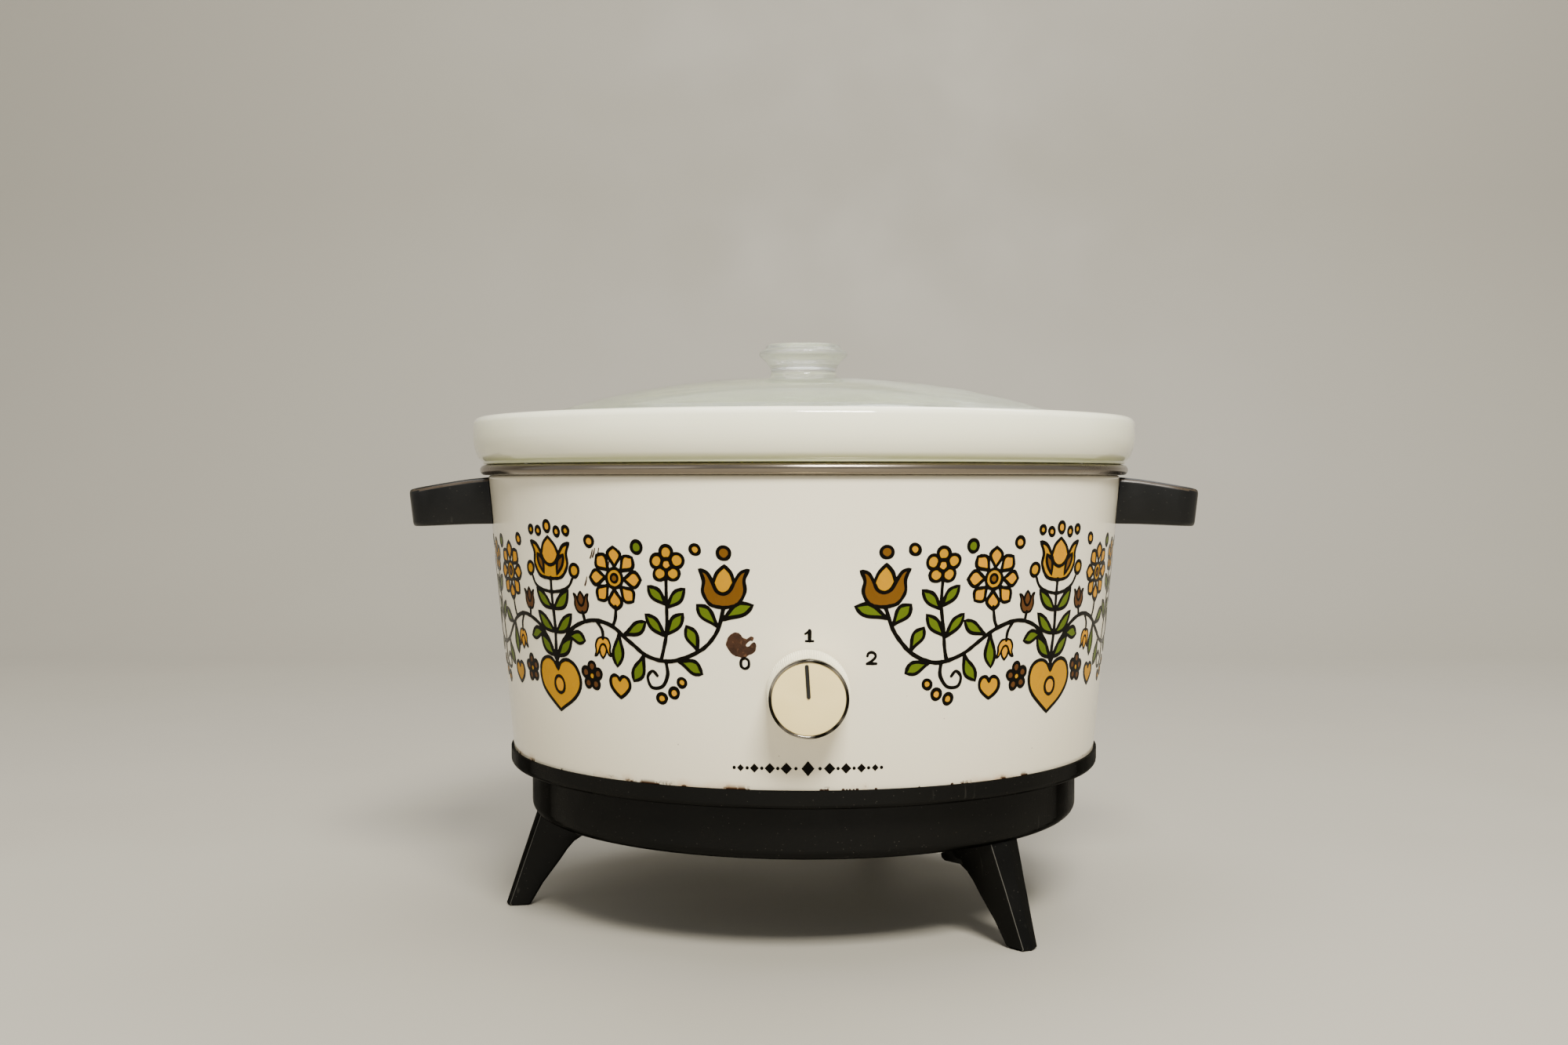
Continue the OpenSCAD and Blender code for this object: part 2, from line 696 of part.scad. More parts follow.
glass_lid();
crock();
trim_ring();
housing_shell();
heat_well();
low_heat_band();
high_heat_band();
band_bolts();
band_nuts();
insulation_wrap();
heat_shield();
centre_stud();
upper_spacer();
lower_spacer();
base_tray();
bottom_plate();
centre_washer();
centre_nut();
leg_right();
leg_rear();
leg_left();
leg_screws();
handle_left();
handle_right();
handle_screws();
switch_body();
switch_bushing();
switch_washer();
switch_nut();
switch_terminals();
switch_rotor();
switch_shaft();
control_knob();
knob_bezel();
knob_face();
knob_pointer();
knob_clip();
thermostat_disc();
thermostat_strap();
inlet_shroud();
inlet_pins();
inlet_screws();
inlet_nuts();
lead_live();
lead_neutral();
lead_low();
lead_high();
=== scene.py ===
"""Looks of a round slow cooker: opal glass crock, clear lid, printed enamel housing, black base."""
import math
import random

import bmesh
import bpy
from mathutils import Matrix, Vector
from mathutils.geometry import delaunay_2d_cdt

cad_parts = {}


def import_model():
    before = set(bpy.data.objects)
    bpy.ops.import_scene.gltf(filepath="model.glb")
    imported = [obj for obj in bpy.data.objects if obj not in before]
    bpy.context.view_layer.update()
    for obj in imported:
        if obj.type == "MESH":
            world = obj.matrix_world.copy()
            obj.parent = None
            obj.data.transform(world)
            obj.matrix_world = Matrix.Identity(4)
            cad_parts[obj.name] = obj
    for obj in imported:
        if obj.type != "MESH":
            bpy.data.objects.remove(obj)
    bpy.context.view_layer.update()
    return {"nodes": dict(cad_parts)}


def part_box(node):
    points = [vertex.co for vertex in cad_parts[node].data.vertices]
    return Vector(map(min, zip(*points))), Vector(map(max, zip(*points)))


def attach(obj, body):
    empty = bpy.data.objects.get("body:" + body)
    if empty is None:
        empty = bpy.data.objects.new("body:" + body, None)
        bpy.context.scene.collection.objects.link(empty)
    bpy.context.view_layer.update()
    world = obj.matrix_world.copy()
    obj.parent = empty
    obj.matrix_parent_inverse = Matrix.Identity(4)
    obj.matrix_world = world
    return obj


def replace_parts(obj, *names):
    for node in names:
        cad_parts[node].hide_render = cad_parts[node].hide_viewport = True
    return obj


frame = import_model()
NODES = frame["nodes"]

MM = 0.001


# ---------------------------------------------------------------- shared sizes, millimetres

def top_of(node):
    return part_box(node)[1].z / MM


def low_of(node):
    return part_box(node)[0].z / MM


def outer_of(node):
    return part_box(node)[1].x / MM


SHELL_LOW = (131.1, 66.0)
SHELL_HIGH = (outer_of("housing_shell"), top_of("housing_shell"))
SLOPE = (SHELL_HIGH[0] - SHELL_LOW[0]) / (SHELL_HIGH[1] - SHELL_LOW[1])
TILT = math.atan(SLOPE)
LIP_Z = 71.0
KNOB_Z = 110.0
PRINT_R = 137.5          # radius at which the print's widths are true
POINTER_TURN = 3.7       # degrees anticlockwise from straight up


def shell_r(z):
    return SHELL_LOW[0] + (z - SHELL_LOW[1]) * SLOPE


# ---------------------------------------------------------------- materials

def srgb(r, g, b, a=1.0):
    """A 0-255 screen colour as linear RGBA."""
    def line(c):
        c /= 255
        return c / 12.92 if c <= 0.04045 else ((c + 0.055) / 1.055) ** 2.4
    return (line(r), line(g), line(b), a)


class Mat:
    """A Principled material with short calls for the nodes used here."""

    def __init__(self, name, color, rough, **sockets):
        self.mat = bpy.data.materials.new(name)
        self.mat.use_nodes = True
        self.tree = self.mat.node_tree
        self.bsdf = self.tree.nodes["Principled BSDF"]
        self.set("Base Color", color)
        self.set("Roughness", rough)
        for key, value in sockets.items():
            self.set(key.replace("_", " "), value)
        self.coords = self.tree.nodes.new("ShaderNodeTexCoord").outputs["Object"]
        self.bumps = None

    def set(self, key, value):
        self.bsdf.inputs[key].default_value = value

    def node(self, kind, **props):
        n = self.tree.nodes.new("ShaderNode" + kind)
        for key, value in props.items():
            setattr(n, key, value)
        return n

    def link(self, a, b):
        self.tree.links.new(a, b)

    def scaled(self, scale):
        n = self.node("Mapping")
        n.inputs["Scale"].default_value = scale
        self.link(self.coords, n.inputs["Vector"])
        return n.outputs["Vector"]

    def noise(self, scale, detail=3.0, rough=0.5, stretch=None):
        n = self.node("TexNoise")
        n.inputs["Scale"].default_value = scale
        n.inputs["Detail"].default_value = detail
        n.inputs["Roughness"].default_value = rough
        self.link(self.scaled(stretch) if stretch else self.coords, n.inputs["Vector"])
        return n.outputs["Fac"]

    def cells(self, scale):
        n = self.node("TexVoronoi", feature="F1")
        n.inputs["Scale"].default_value = scale
        self.link(self.coords, n.inputs["Vector"])
        return n.outputs["Distance"]

    def height(self):
        """Height over the table at rest, in metres, on a piece that isn't placed by a matrix."""
        n = self.node("SeparateXYZ")
        self.link(self.coords, n.inputs[0])
        return n.outputs["Z"]

    def span(self, source, low, high, to_low=0.0, to_high=1.0):
        """Maps low..high to to_low..to_high and holds the ends."""
        n = self.node("MapRange", clamp=True)
        self.link(source, n.inputs["Value"])
        for key, value in (("From Min", low), ("From Max", high),
                           ("To Min", to_low), ("To Max", to_high)):
            n.inputs[key].default_value = value
        return n.outputs["Result"]

    def times(self, a, b):
        n = self.node("Math", operation="MULTIPLY")
        self.link(a, n.inputs[0])
        self.link(b, n.inputs[1])
        return n.outputs[0]

    def tint(self, mask, color):
        """Mixes a colour over what the base colour is so far, by the mask."""
        n = self.node("Mix", data_type="RGBA")
        base = self.bsdf.inputs["Base Color"]
        if base.links:
            self.link(base.links[0].from_socket, n.inputs["A"])
        else:
            n.inputs["A"].default_value = base.default_value
        n.inputs["B"].default_value = color
        self.link(mask, n.inputs["Factor"])
        self.link(n.outputs["Result"], base)

    def gloss(self, source, low, high, to_low, to_high):
        self.link(self.span(source, low, high, to_low, to_high), self.bsdf.inputs["Roughness"])

    def facing(self):
        """0 where the surface faces the eye, 1 where it turns away."""
        n = self.node("LayerWeight")
        n.inputs["Blend"].default_value = 0.5
        return n.outputs["Facing"]

    def bump(self, source, depth):
        """Adds relief of that depth in metres."""
        n = self.node("Bump")
        n.inputs["Distance"].default_value = depth
        n.inputs["Strength"].default_value = 1.0
        self.link(source, n.inputs["Height"])
        if self.bumps:
            self.link(self.bumps, n.inputs["Normal"])
        self.bumps = n.outputs["Normal"]
        self.link(self.bumps, self.bsdf.inputs["Normal"])


def enamel():
    m = Mat("white_enamel", srgb(244, 235, 210), 0.16, Coat_Weight=0.35, Coat_Roughness=0.05)
    m.tint(m.span(m.noise(9, 2), 0.35, 0.75, 0, 0.5), srgb(238, 228, 200))
    m.tint(m.span(m.height(), 0.105, 0.070, 0, 0.30), srgb(214, 200, 170))
    # pin holes and small dark specks
    m.tint(m.span(m.cells(95), 0.035, 0.022, 0, 0.55), srgb(120, 95, 70))
    # rust that creeps up from the bottom edge
    edge = m.span(m.height(), 0.0745, 0.0712)
    m.tint(m.times(edge, m.span(m.noise(38, 4, 0.6), 0.56, 0.70, 0, 0.7)), srgb(190, 136, 66))
    low = m.span(m.height(), 0.0728, 0.0712)
    m.tint(m.times(low, m.span(m.noise(75, 4, 0.7), 0.57, 0.62)), srgb(66, 40, 22))
    m.gloss(m.noise(60, 4), 0.3, 0.7, 0.12, 0.24)
    m.bump(m.noise(170, 2), 0.00004)
    return m.mat


def opal():
    m = Mat("opal_glass", srgb(255, 252, 222), 0.06, IOR=1.52, Subsurface_Weight=0.25,
            Subsurface_Scale=0.012, Coat_Weight=0.4, Coat_Roughness=0.03)
    m.set("Subsurface Radius", (1.0, 1.0, 0.8))
    # painted shade: the rim turns darker and warmer towards its foot
    m.tint(m.span(m.height(), 0.2150, 0.2010, 0, 0.50), srgb(226, 220, 192))
    # painted glow: a green line of light coming through the glass at the rim's foot
    m.tint(m.span(m.height(), 0.2006, 0.1984, 0, 0.7), srgb(206, 212, 150))
    m.tint(m.span(m.height(), 0.1965, 0.1925), srgb(250, 248, 232))
    m.tint(m.span(m.noise(24, 3), 0.45, 0.8, 0, 0.2), srgb(234, 230, 210))
    m.gloss(m.noise(45, 4), 0.3, 0.75, 0.04, 0.14)
    m.bump(m.noise(30, 2), 0.00008)
    return m.mat


def clear_glass():
    m = Mat("clear_glass", srgb(238, 246, 226), 0.02, IOR=1.5, Transmission_Weight=0.92, Alpha=0.8)
    m.tint(m.span(m.height(), 0.2352, 0.2368), srgb(251, 253, 247))
    m.gloss(m.noise(35, 4), 0.55, 0.9, 0.005, 0.07)
    m.bump(m.noise(40, 2), 0.00004)
    return m.mat


def turned_steel(name, color, low=0.22, high=0.42, metal=1.0):
    """Steel with fine lines round the upright axis, and dull patches."""
    m = Mat(name, color, 0.3, Metallic=metal)
    m.tint(m.span(m.noise(22, 4, 0.6), 0.5, 0.75, 0, 0.45), srgb(120, 110, 98))
    m.gloss(m.noise(30, 4), 0.3, 0.7, low, high)
    m.bump(m.noise(60, 2, stretch=(1, 1, 30)), 0.00003)
    return m.mat


def sheet_metal(name, color, low=0.25, high=0.5):
    m = Mat(name, color, 0.35, Metallic=1.0)
    m.tint(m.span(m.noise(40, 4), 0.5, 0.8, 0, 0.4), srgb(128, 122, 114))
    m.gloss(m.noise(90, 4), 0.3, 0.7, low, high)
    m.bump(m.noise(260, 2), 0.00002)
    return m.mat


def black_plastic(name, shine, graze):
    """Worn black phenolic; graze is what is left of its shine where it turns away."""
    m = Mat(name, srgb(5, 5, 4), 0.4)
    m.link(m.span(m.facing(), 0.08, 0.66, shine, graze), m.bsdf.inputs["Specular IOR Level"])
    m.tint(m.span(m.noise(16, 4), 0.5, 0.8, 0, 0.3), srgb(20, 19, 16))
    m.tint(m.span(m.cells(420), 0.10, 0.05, 0, 0.3), srgb(96, 92, 84))
    m.tint(m.span(m.noise(150, 2, stretch=(1, 4, 0.3)), 0.70, 0.76, 0, 0.25), srgb(70, 68, 62))
    m.gloss(m.noise(50, 4), 0.3, 0.75, 0.24, 0.46)
    m.bump(m.noise(900, 2), 0.00003)
    return m.mat


def chrome_with_painted_reflection():
    """Bright trim with dark streaks of painted reflection."""
    m = Mat("chrome_painted_dark_reflection", srgb(150, 144, 134), 0.1, Metallic=1.0)
    # painted reflection: dark streaks stand for a dark room mirrored in the chrome
    m.tint(m.span(m.noise(70, 2), 0.36, 0.50), srgb(26, 24, 20))
    m.gloss(m.noise(200, 4), 0.3, 0.7, 0.05, 0.22)
    m.bump(m.noise(500, 2), 0.00002)
    return m.mat


def plastic(name, color, rough, spread=0.1, **sockets):
    m = Mat(name, color, rough, **sockets)
    dark = tuple(c * 0.8 for c in color[:3]) + (1,)
    m.tint(m.span(m.noise(45, 4), 0.45, 0.8, 0, 0.5), dark)
    m.gloss(m.noise(80, 4), 0.3, 0.7, max(rough - spread, 0.03), rough + spread)
    m.bump(m.noise(700, 2), 0.00002)
    return m.mat


def wool():
    m = Mat("mineral_wool", srgb(206, 190, 140), 0.95, Sheen_Weight=0.3)
    m.tint(m.span(m.noise(120, 5, 0.7), 0.35, 0.7), srgb(176, 156, 104))
    m.bump(m.noise(260, 5, 0.7), 0.0008)
    return m.mat


def ink(name, color):
    """Fired print: a little less even than the enamel round it."""
    m = Mat(name, color, 0.2, Specular_IOR_Level=0.05)
    deep = tuple(c * 0.8 for c in color[:3]) + (1,)
    m.tint(m.span(m.noise(75, 5, 0.6), 0.45, 0.75, 0, 0.5), deep)
    m.gloss(m.noise(160, 3), 0.3, 0.7, 0.16, 0.32)
    m.bump(m.noise(420, 2), 0.00002)
    return m.mat


def bare_rust():
    m = Mat("chip_rust", srgb(60, 38, 24), 0.6, Specular_IOR_Level=0.15)
    m.tint(m.span(m.noise(260, 5, 0.7), 0.42, 0.62), srgb(46, 29, 18))
    m.tint(m.span(m.noise(620, 3), 0.60, 0.70, 0, 0.6), srgb(104, 72, 48))
    m.gloss(m.noise(300, 4), 0.3, 0.7, 0.5, 0.85)
    m.bump(m.noise(700, 5, 0.7), 0.00025)
    return m.mat


ENAMEL = enamel()
OPAL = opal()
GLASS = clear_glass()
RING = turned_steel("ring_steel", srgb(134, 124, 112), 0.14, 0.3)
ZINC = sheet_metal("zinc_steel", srgb(176, 176, 172))
ALUMINIUM = turned_steel("spun_aluminium", srgb(198, 198, 196), 0.25, 0.45)
BAND = sheet_metal("band_steel", srgb(150, 136, 112))
BLACK = black_plastic("black_phenolic", 0.15, 0.002)
GRIP = black_plastic("grip_phenolic", 0.32, 0.32)
# edge wear and painted highlight: a lighter line along the legs' outer corners
EDGE_WEAR_AND_HIGHLIGHT = plastic("edge_wear_and_painted_highlight", srgb(70, 68, 62), 0.3)
# painted highlight: a warm line along the handles' top long edges
HANDLE_EDGE_HIGHLIGHT = plastic("painted_edge_highlight", srgb(58, 48, 36), 0.3)
BROWN = plastic("brown_phenolic", srgb(92, 54, 30), 0.4)
BRASS = sheet_metal("brass", srgb(196, 160, 92))
CREAM = plastic("cream_plastic", srgb(252, 246, 220), 0.28, 0.08, Coat_Weight=0.2)
CHROME = sheet_metal("bright_chrome", srgb(196, 194, 190), 0.04, 0.16)
BEZEL = chrome_with_painted_reflection()
MARK = plastic("black_mark", srgb(6, 6, 5), 0.35)
WOOL = wool()
RUBBER = {
    "lead_live": plastic("black_lead", srgb(28, 28, 28), 0.5),
    "lead_neutral": plastic("white_lead", srgb(216, 214, 206), 0.5),
    "lead_low": plastic("red_lead", srgb(150, 34, 28), 0.5),
    "lead_high": plastic("yellow_lead", srgb(220, 168, 40), 0.5),
}

NODE_MATERIAL = {
    "glass_lid": GLASS, "crock": OPAL, "trim_ring": RING, "housing_shell": ENAMEL,
    "heat_well": ALUMINIUM, "low_heat_band": BAND, "high_heat_band": BAND,
    "band_bolts": ZINC, "band_nuts": ZINC, "insulation_wrap": WOOL, "heat_shield": ALUMINIUM,
    "centre_stud": ZINC, "upper_spacer": ZINC, "lower_spacer": ZINC, "base_tray": BLACK,
    "bottom_plate": ZINC, "centre_washer": ZINC, "centre_nut": ZINC, "leg_right": BLACK,
    "leg_rear": BLACK, "leg_left": BLACK, "leg_screws": ZINC, "handle_left": GRIP,
    "handle_right": GRIP, "handle_screws": ZINC, "switch_body": BROWN,
    "switch_bushing": BRASS, "switch_washer": ZINC, "switch_nut": BRASS,
    "switch_terminals": BRASS, "switch_rotor": BROWN, "switch_shaft": ZINC,
    "control_knob": CREAM, "knob_bezel": BEZEL, "knob_face": CREAM, "knob_pointer": MARK,
    "knob_clip": ZINC, "thermostat_disc": BROWN, "thermostat_strap": ALUMINIUM,
    "inlet_shroud": BLACK, "inlet_pins": CHROME, "inlet_screws": ZINC, "inlet_nuts": ZINC,
    **RUBBER,
}


def paint(obj, mat):
    obj.data.materials.clear()
    obj.data.materials.append(mat)


for node_name, node_obj in NODES.items():
    paint(node_obj, NODE_MATERIAL[node_name])


# ---------------------------------------------------------------- meshes

def add_mesh(name, verts, faces, mat, body, place=None, sharp=38):
    """A closed mesh in millimetres that rides on a body, smooth but for its sharp edges."""
    mesh = bpy.data.meshes.new(name)
    bm = bmesh.new()
    made = [bm.verts.new(Vector(v) * MM) for v in verts]
    for face in faces:
        bm.faces.new([made[i] for i in face])
    bmesh.ops.recalc_face_normals(bm, faces=bm.faces)
    bm.to_mesh(mesh)
    bm.free()
    mesh.shade_smooth()
    mesh.set_sharp_from_angle(angle=math.radians(sharp))
    obj = bpy.data.objects.new(name, mesh)
    bpy.context.scene.collection.objects.link(obj)
    if place:
        obj.matrix_world = place
    paint(obj, mat)
    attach(obj, body)
    return obj


def arc(centre, radius, start, end, steps=8):
    out = []
    for i in range(steps + 1):
        a = math.radians(start + (end - start) * i / steps)
        out.append((centre[0] + radius * math.cos(a), centre[1] + radius * math.sin(a)))
    return out


STRAIGHT = 3.0           # an angle in radians: a corner wider than this stays as it is
MOST_OF_SIDE = 0.45      # how much of the shorter side a round corner may take


def rounded(corners, steps=5):
    """A closed outline; a corner given as (x, y, radius) is rounded."""
    out = []
    count = len(corners)
    for i, corner in enumerate(corners):
        point = Vector(corner[:2])
        before = Vector(corners[i - 1][:2]) - point
        after = Vector(corners[(i + 1) % count][:2]) - point
        if len(corner) < 3 or before.angle(after) > STRAIGHT:
            out.append(tuple(point))
            continue
        half = before.angle(after) / 2
        longest = MOST_OF_SIDE * min(before.length, after.length)
        cut = min(corner[2] / math.tan(half), longest)
        radius = cut * math.tan(half)
        centre = point + (before.normalized() + after.normalized()).normalized() * (
            radius / math.sin(half))
        first = point + before.normalized() * cut - centre
        last = point + after.normalized() * cut - centre
        turn = first.angle(last)
        for k in range(steps + 1):
            t = k / steps
            spoke = (first * math.sin((1 - t) * turn) + last * math.sin(t * turn)) / math.sin(turn)
            out.append(tuple(centre + spoke))
    return out


def lathe(name, line, mat, body, sides=256, flutes=0, place=None, sharp=38):
    """Turns a closed line of (radius, height) points, or (radius, height, flute depth)."""
    verts, rings, faces = [], [], []
    for point in line:
        radius, z = point[:2]
        depth = point[2] if len(point) > 2 else 0
        if radius < 1e-6:
            rings.append([len(verts)])
            verts.append((0, 0, z))
            continue
        rings.append(list(range(len(verts), len(verts) + sides)))
        for i in range(sides):
            a = 2 * math.pi * i / sides
            r = radius - depth * (0.5 - 0.5 * math.cos(flutes * a))
            verts.append((r * math.cos(a), r * math.sin(a), z))
    for k, low in enumerate(rings):
        high = rings[(k + 1) % len(rings)]
        for i in range(sides):
            j = (i + 1) % sides
            if len(low) == 1 and len(high) == 1:
                break
            if len(low) == 1:
                faces.append((low[0], high[j], high[i]))
            elif len(high) == 1:
                faces.append((low[i], low[j], high[0]))
            else:
                faces.append((low[i], low[j], high[j], high[i]))
    return add_mesh(name, verts, faces, mat, body, place, sharp)


def loft(name, rings, mat, body, place=None, sharp=45):
    """Joins closed rings of points, all of one length, and caps both ends."""
    count = len(rings[0])
    verts = [v for ring in rings for v in ring]
    faces = [tuple(range(count))[::-1], tuple(range(len(verts) - count, len(verts)))]
    for k in range(len(rings) - 1):
        for i in range(count):
            j = (i + 1) % count
            faces.append((k * count + i, k * count + j, (k + 1) * count + j, (k + 1) * count + i))
    return add_mesh(name, verts, faces, mat, body, place, sharp)


# ---------------------------------------------------------------- crock, lid, ring, housing

DRAFT_DEG = 6                 # how far the crock's walls lean out
DRAFT = math.radians(DRAFT_DEG)


def bowl(top, bottom, corner):
    """A bowl's side: flat bottom, round corner, wall that leans out up to top."""
    z = bottom + corner
    x = top[0] - (corner - (z - top[1]) * math.sin(DRAFT)) / math.cos(DRAFT)
    return [(0, bottom)] + arc((x, z), corner, -90, -DRAFT_DEG, 14) + [top]


def make_crock():
    bottom, rim_z = low_of("crock"), top_of("crock")
    rim_r = outer_of("crock")
    outer, inner, floor_thickness = 127, 121, 7
    outside = bowl((outer, 196), bottom, 38)
    inside = bowl((inner, rim_z - 5), bottom + floor_thickness, 32)
    inside[-1] = inside[-1] + (1.6,)
    under, skirt_z = rim_z - 8, 196.7
    rim = [(127.6, under), (rim_r - 6, under, 2), (rim_r - 6, skirt_z, 0.5),
           (rim_r - 4.2, skirt_z, 0.5), (rim_r - 4.2, skirt_z + 1.2)]
    rim += arc((rim_r - 18.8, rim_z - 8.9), 18.8, -32.8, 0, 9)[1:]
    rim += arc((rim_r - 3.5, rim_z - 3.5), 3.5, 0, 90, 9)[1:]
    rim += [(128.5, rim_z, 1.3), (128.5, rim_z - 5, 0.8)]
    crock = lathe("opal_crock", rounded(outside + rim + inside[::-1]), OPAL, "crock")
    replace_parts(crock, "crock")


DOME_Z = 235.9           # the top of the lid's dome
DOME_DROP = (107, 13.7)  # at this radius the dome is this much lower
GRIP_Z = top_of("glass_lid")


def dome(r):
    """The height of the lid's upper face; it is flat in the middle and steeper outside."""
    return DOME_Z - DOME_DROP[1] * (r / DOME_DROP[0]) ** 2.35


def make_lid():
    seat = low_of("glass_lid")
    edge = outer_of("glass_lid")
    thick = 4
    line = [(r, dome(r) - thick) for r in range(0, 120, 7)]
    line += [(120, seat, 1.5), (edge, seat, 0.9), (edge, seat + 3.7, 1.2), (121, seat + 3.9, 3)]
    line += [(r, dome(r)) for r in (118, 112, 104, 96, 88, 80, 72, 64, 56, 48, 40, 33, 27)]
    # the grip: a short neck, a flared lip and a dished top
    line += [(21.5, dome(21.5) + 0.1), (17.6, DOME_Z + 0.25), (15.6, DOME_Z + 0.9)]
    line += [(14.8, DOME_Z + 2.3), (14.8, DOME_Z + 4.0), (15.6, DOME_Z + 5.9)]
    line += [(17.2, DOME_Z + 8.0), (18.8, DOME_Z + 9.5)]
    line += arc((18.5, DOME_Z + 11.4), 1.7, -35, 70, 7)
    line += [(17.8, GRIP_Z - 2.0, 0.6), (16.8, GRIP_Z, 1.0), (15.0, GRIP_Z, 1.2)]
    line += [(12.4, GRIP_Z - 2.4, 1.5), (0, GRIP_Z - 3.2)]
    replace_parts(lathe("moulded_lid", rounded(line), GLASS, "lid", 192, sharp=60), "glass_lid")


def make_ring():
    """A round bead with a flat tongue that reaches in over the housing's edge."""
    bead, tongue = 2.2, 136
    x, z = 144, low_of("trim_ring") + bead
    line = [(tongue, z - 1.2)] + arc((x, z), bead, 213, 547.8, 30) + [(tongue, z - 0.3)]
    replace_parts(lathe("steel_ring", line, RING, "cooker"), "trim_ring")


def make_housing():
    low, high = SHELL_LOW, SHELL_HIGH
    turned_low, turned_high = 123.8, 138.5      # the inner radii of the turned-in edges
    line = [(turned_low, low[1]), (low[0], low[1], 1.6), (high[0], high[1], 2.4)]
    line += [(turned_high, high[1]), (turned_high, high[1] - 1)]
    line += [(shell_r(high[1] - 1) - 1, high[1] - 1, 1.6)]
    line += [(shell_r(low[1] + 1) - 1, low[1] + 1, 0.8), (turned_low, low[1] + 1)]
    housing = lathe("enamelled_housing", rounded(line), ENAMEL, "cooker", 384)
    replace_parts(housing, "housing_shell")


make_crock()
make_lid()
make_ring()
make_housing()


# ---------------------------------------------------------------- handles and legs

def between(table, x):
    """The values in a table of (x, value, ...) rows at x, by straight lines."""
    for low, high in zip(table, table[1:]):
        if x <= high[0]:
            t = (x - low[0]) / (high[0] - low[0])
            return [a + (b - a) * t for a, b in zip(low[1:], high[1:])]
    return list(table[-1][1:])


HANDLE_SIDE = [(130, 170.6, 191.0), (142, 170.6, 190.9), (150, 170.3, 189.8), (158, 170.0, 188.5),
               (165, 169.7, 187.3), (170, 169.5, 186.4), (176, 169.4, 185.2)]


def make_handle(side):
    """A grip with round long edges, whose root follows the housing."""
    name = "handle_right" if side > 0 else "handle_left"
    end = outer_of("handle_right")
    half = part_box(name)[1].y / MM
    corner, edge, lean = 12.0, 2.4, 1.9
    tip = [end - edge * (1 - math.sin(math.radians(a))) for a in (0, 22, 42, 60, 75, 90)]
    rings = []
    for x in [0, 146, 152, 158, end - 12, end - 9, end - 6.5, end - 4.5, end - 3.3] + tip:
        low, high = between(HANDLE_SIDE, max(x, 131))
        over = max(x - (end - corner), 0)
        wide = half - corner + math.sqrt(max(corner ** 2 - over ** 2, 0))
        inset = edge - math.sqrt(max(edge ** 2 - max(x - (end - edge), 0) ** 2, 0))
        if over > corner - 0.01:
            wide = half - corner + 1.0
        w, r = wide - inset, max(edge - inset, 0.5)
        ring = []
        for y, z in rounded([(-w, low + inset, r * 0.8), (w, low + inset, r * 0.8),
                             (w, high - inset, r), (-w, high - inset, r)], 6):
            if x == 0:
                place = math.sqrt((shell_r(z) + 0.4) ** 2 - y ** 2)
            else:
                place = x - lean * max(x - 150, 0) / (end - 150) * (high - z) / (high - low)
            ring.append((side * place, y, z))
        rings.append(ring)
    grip = loft(name.replace("_", "_grip_"), rings, GRIP, "cooker", sharp=60)
    # the faces along the top long edges, front and back, carry a painted highlight line
    grip.data.materials.append(HANDLE_EDGE_HIGHLIGHT)
    for face in grip.data.polygons:
        if 0.30 < face.normal.z < 0.66 and abs(face.normal.y) > 0.5:
            face.material_index = 1
    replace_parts(grip, name)


# height, inner and outer distance from the middle, half the width
LEG_SIDE = [(0, 125.0, 134.2, 4.5), (10, 119.2, 130.8, 5.4), (20, 111.8, 127.5, 6.3),
            (25, 108.4, 125.8, 6.7), (28.5, 105.4, 124.6, 7.1), (31, 101.6, 123.8, 7.4),
            (42.2, 91.6, 120.0, 8.5)]
LEG_TURNS = {"leg_right": 42.4, "leg_rear": 161.4, "leg_left": -79.6}


def make_leg(name, turn):
    """A splayed leg with a low ridge down its outside, a block and a flange under the base."""
    ridge, foot_edge = 1.4, 0.9
    base = low_of("base_tray")
    a = math.radians(turn)

    def world(out, across, z):
        return (out * math.sin(a) + across * math.cos(a),
                -out * math.cos(a) + across * math.sin(a), z)

    rings = []
    for z in (0, 0.9, 5, 10, 15, 20, 25, 28.5, 30, 31, 34, 38, 42.2):
        inner, outer, half = between(LEG_SIDE, z)
        inset = foot_edge if z == 0 else 0
        inner, outer, half = inner + inset, outer - inset, half - inset
        ring = rounded([(inner, -half, 1.4), (outer, -half, 0.9), (outer + ridge, 0, 1.2),
                        (outer, half, 0.9), (inner, half, 1.4)], 4)
        rings.append([world(x, y, z) for x, y in ring])
    post = loft(name.replace("_", "_post_"), rings, BLACK, "cooker", sharp=24)
    # the faces on the outer corners carry a lighter line, partly wear and partly painted highlight
    post.data.materials.append(EDGE_WEAR_AND_HIGHLIGHT)
    for face in post.data.polygons:
        sideways = face.normal.x * math.cos(a) + face.normal.y * math.sin(a)
        if 0.5 < abs(sideways) < 0.8 and face.normal.x * math.sin(a) > face.normal.y * math.cos(a):
            face.material_index = 1
    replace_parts(post, name)
    flange_in, flange_out, half, corner = 87, 105, 7.6, 1.5
    block = []
    for z, inner in ((31, 93.4), (32, 91.8), (36, 91.0), (base, 90.6)):
        ring = rounded([(inner, -half, corner), (flange_out, -half, corner),
                        (flange_out, half, corner), (inner, half, corner)], 4)
        block.append([world(x, y, z) for x, y in ring])
    loft(name.replace("_", "_block_"), block, BLACK, "cooker")
    fan = [math.radians(-12 + 2 * k) for k in range(13)]
    rim = [(flange_out * math.cos(f), flange_out * math.sin(f)) for f in fan]
    rim += [(flange_in * math.cos(f), flange_in * math.sin(f)) for f in reversed(fan)]
    plates = [[world(x, y, z) for x, y in rim] for z in (base - 3, base)]
    loft(name.replace("_", "_flange_"), plates, BLACK, "cooker")


for side in (-1, 1):
    make_handle(side)
for leg_name, leg_turn in LEG_TURNS.items():
    make_leg(leg_name, leg_turn)


# ---------------------------------------------------------------- control knob

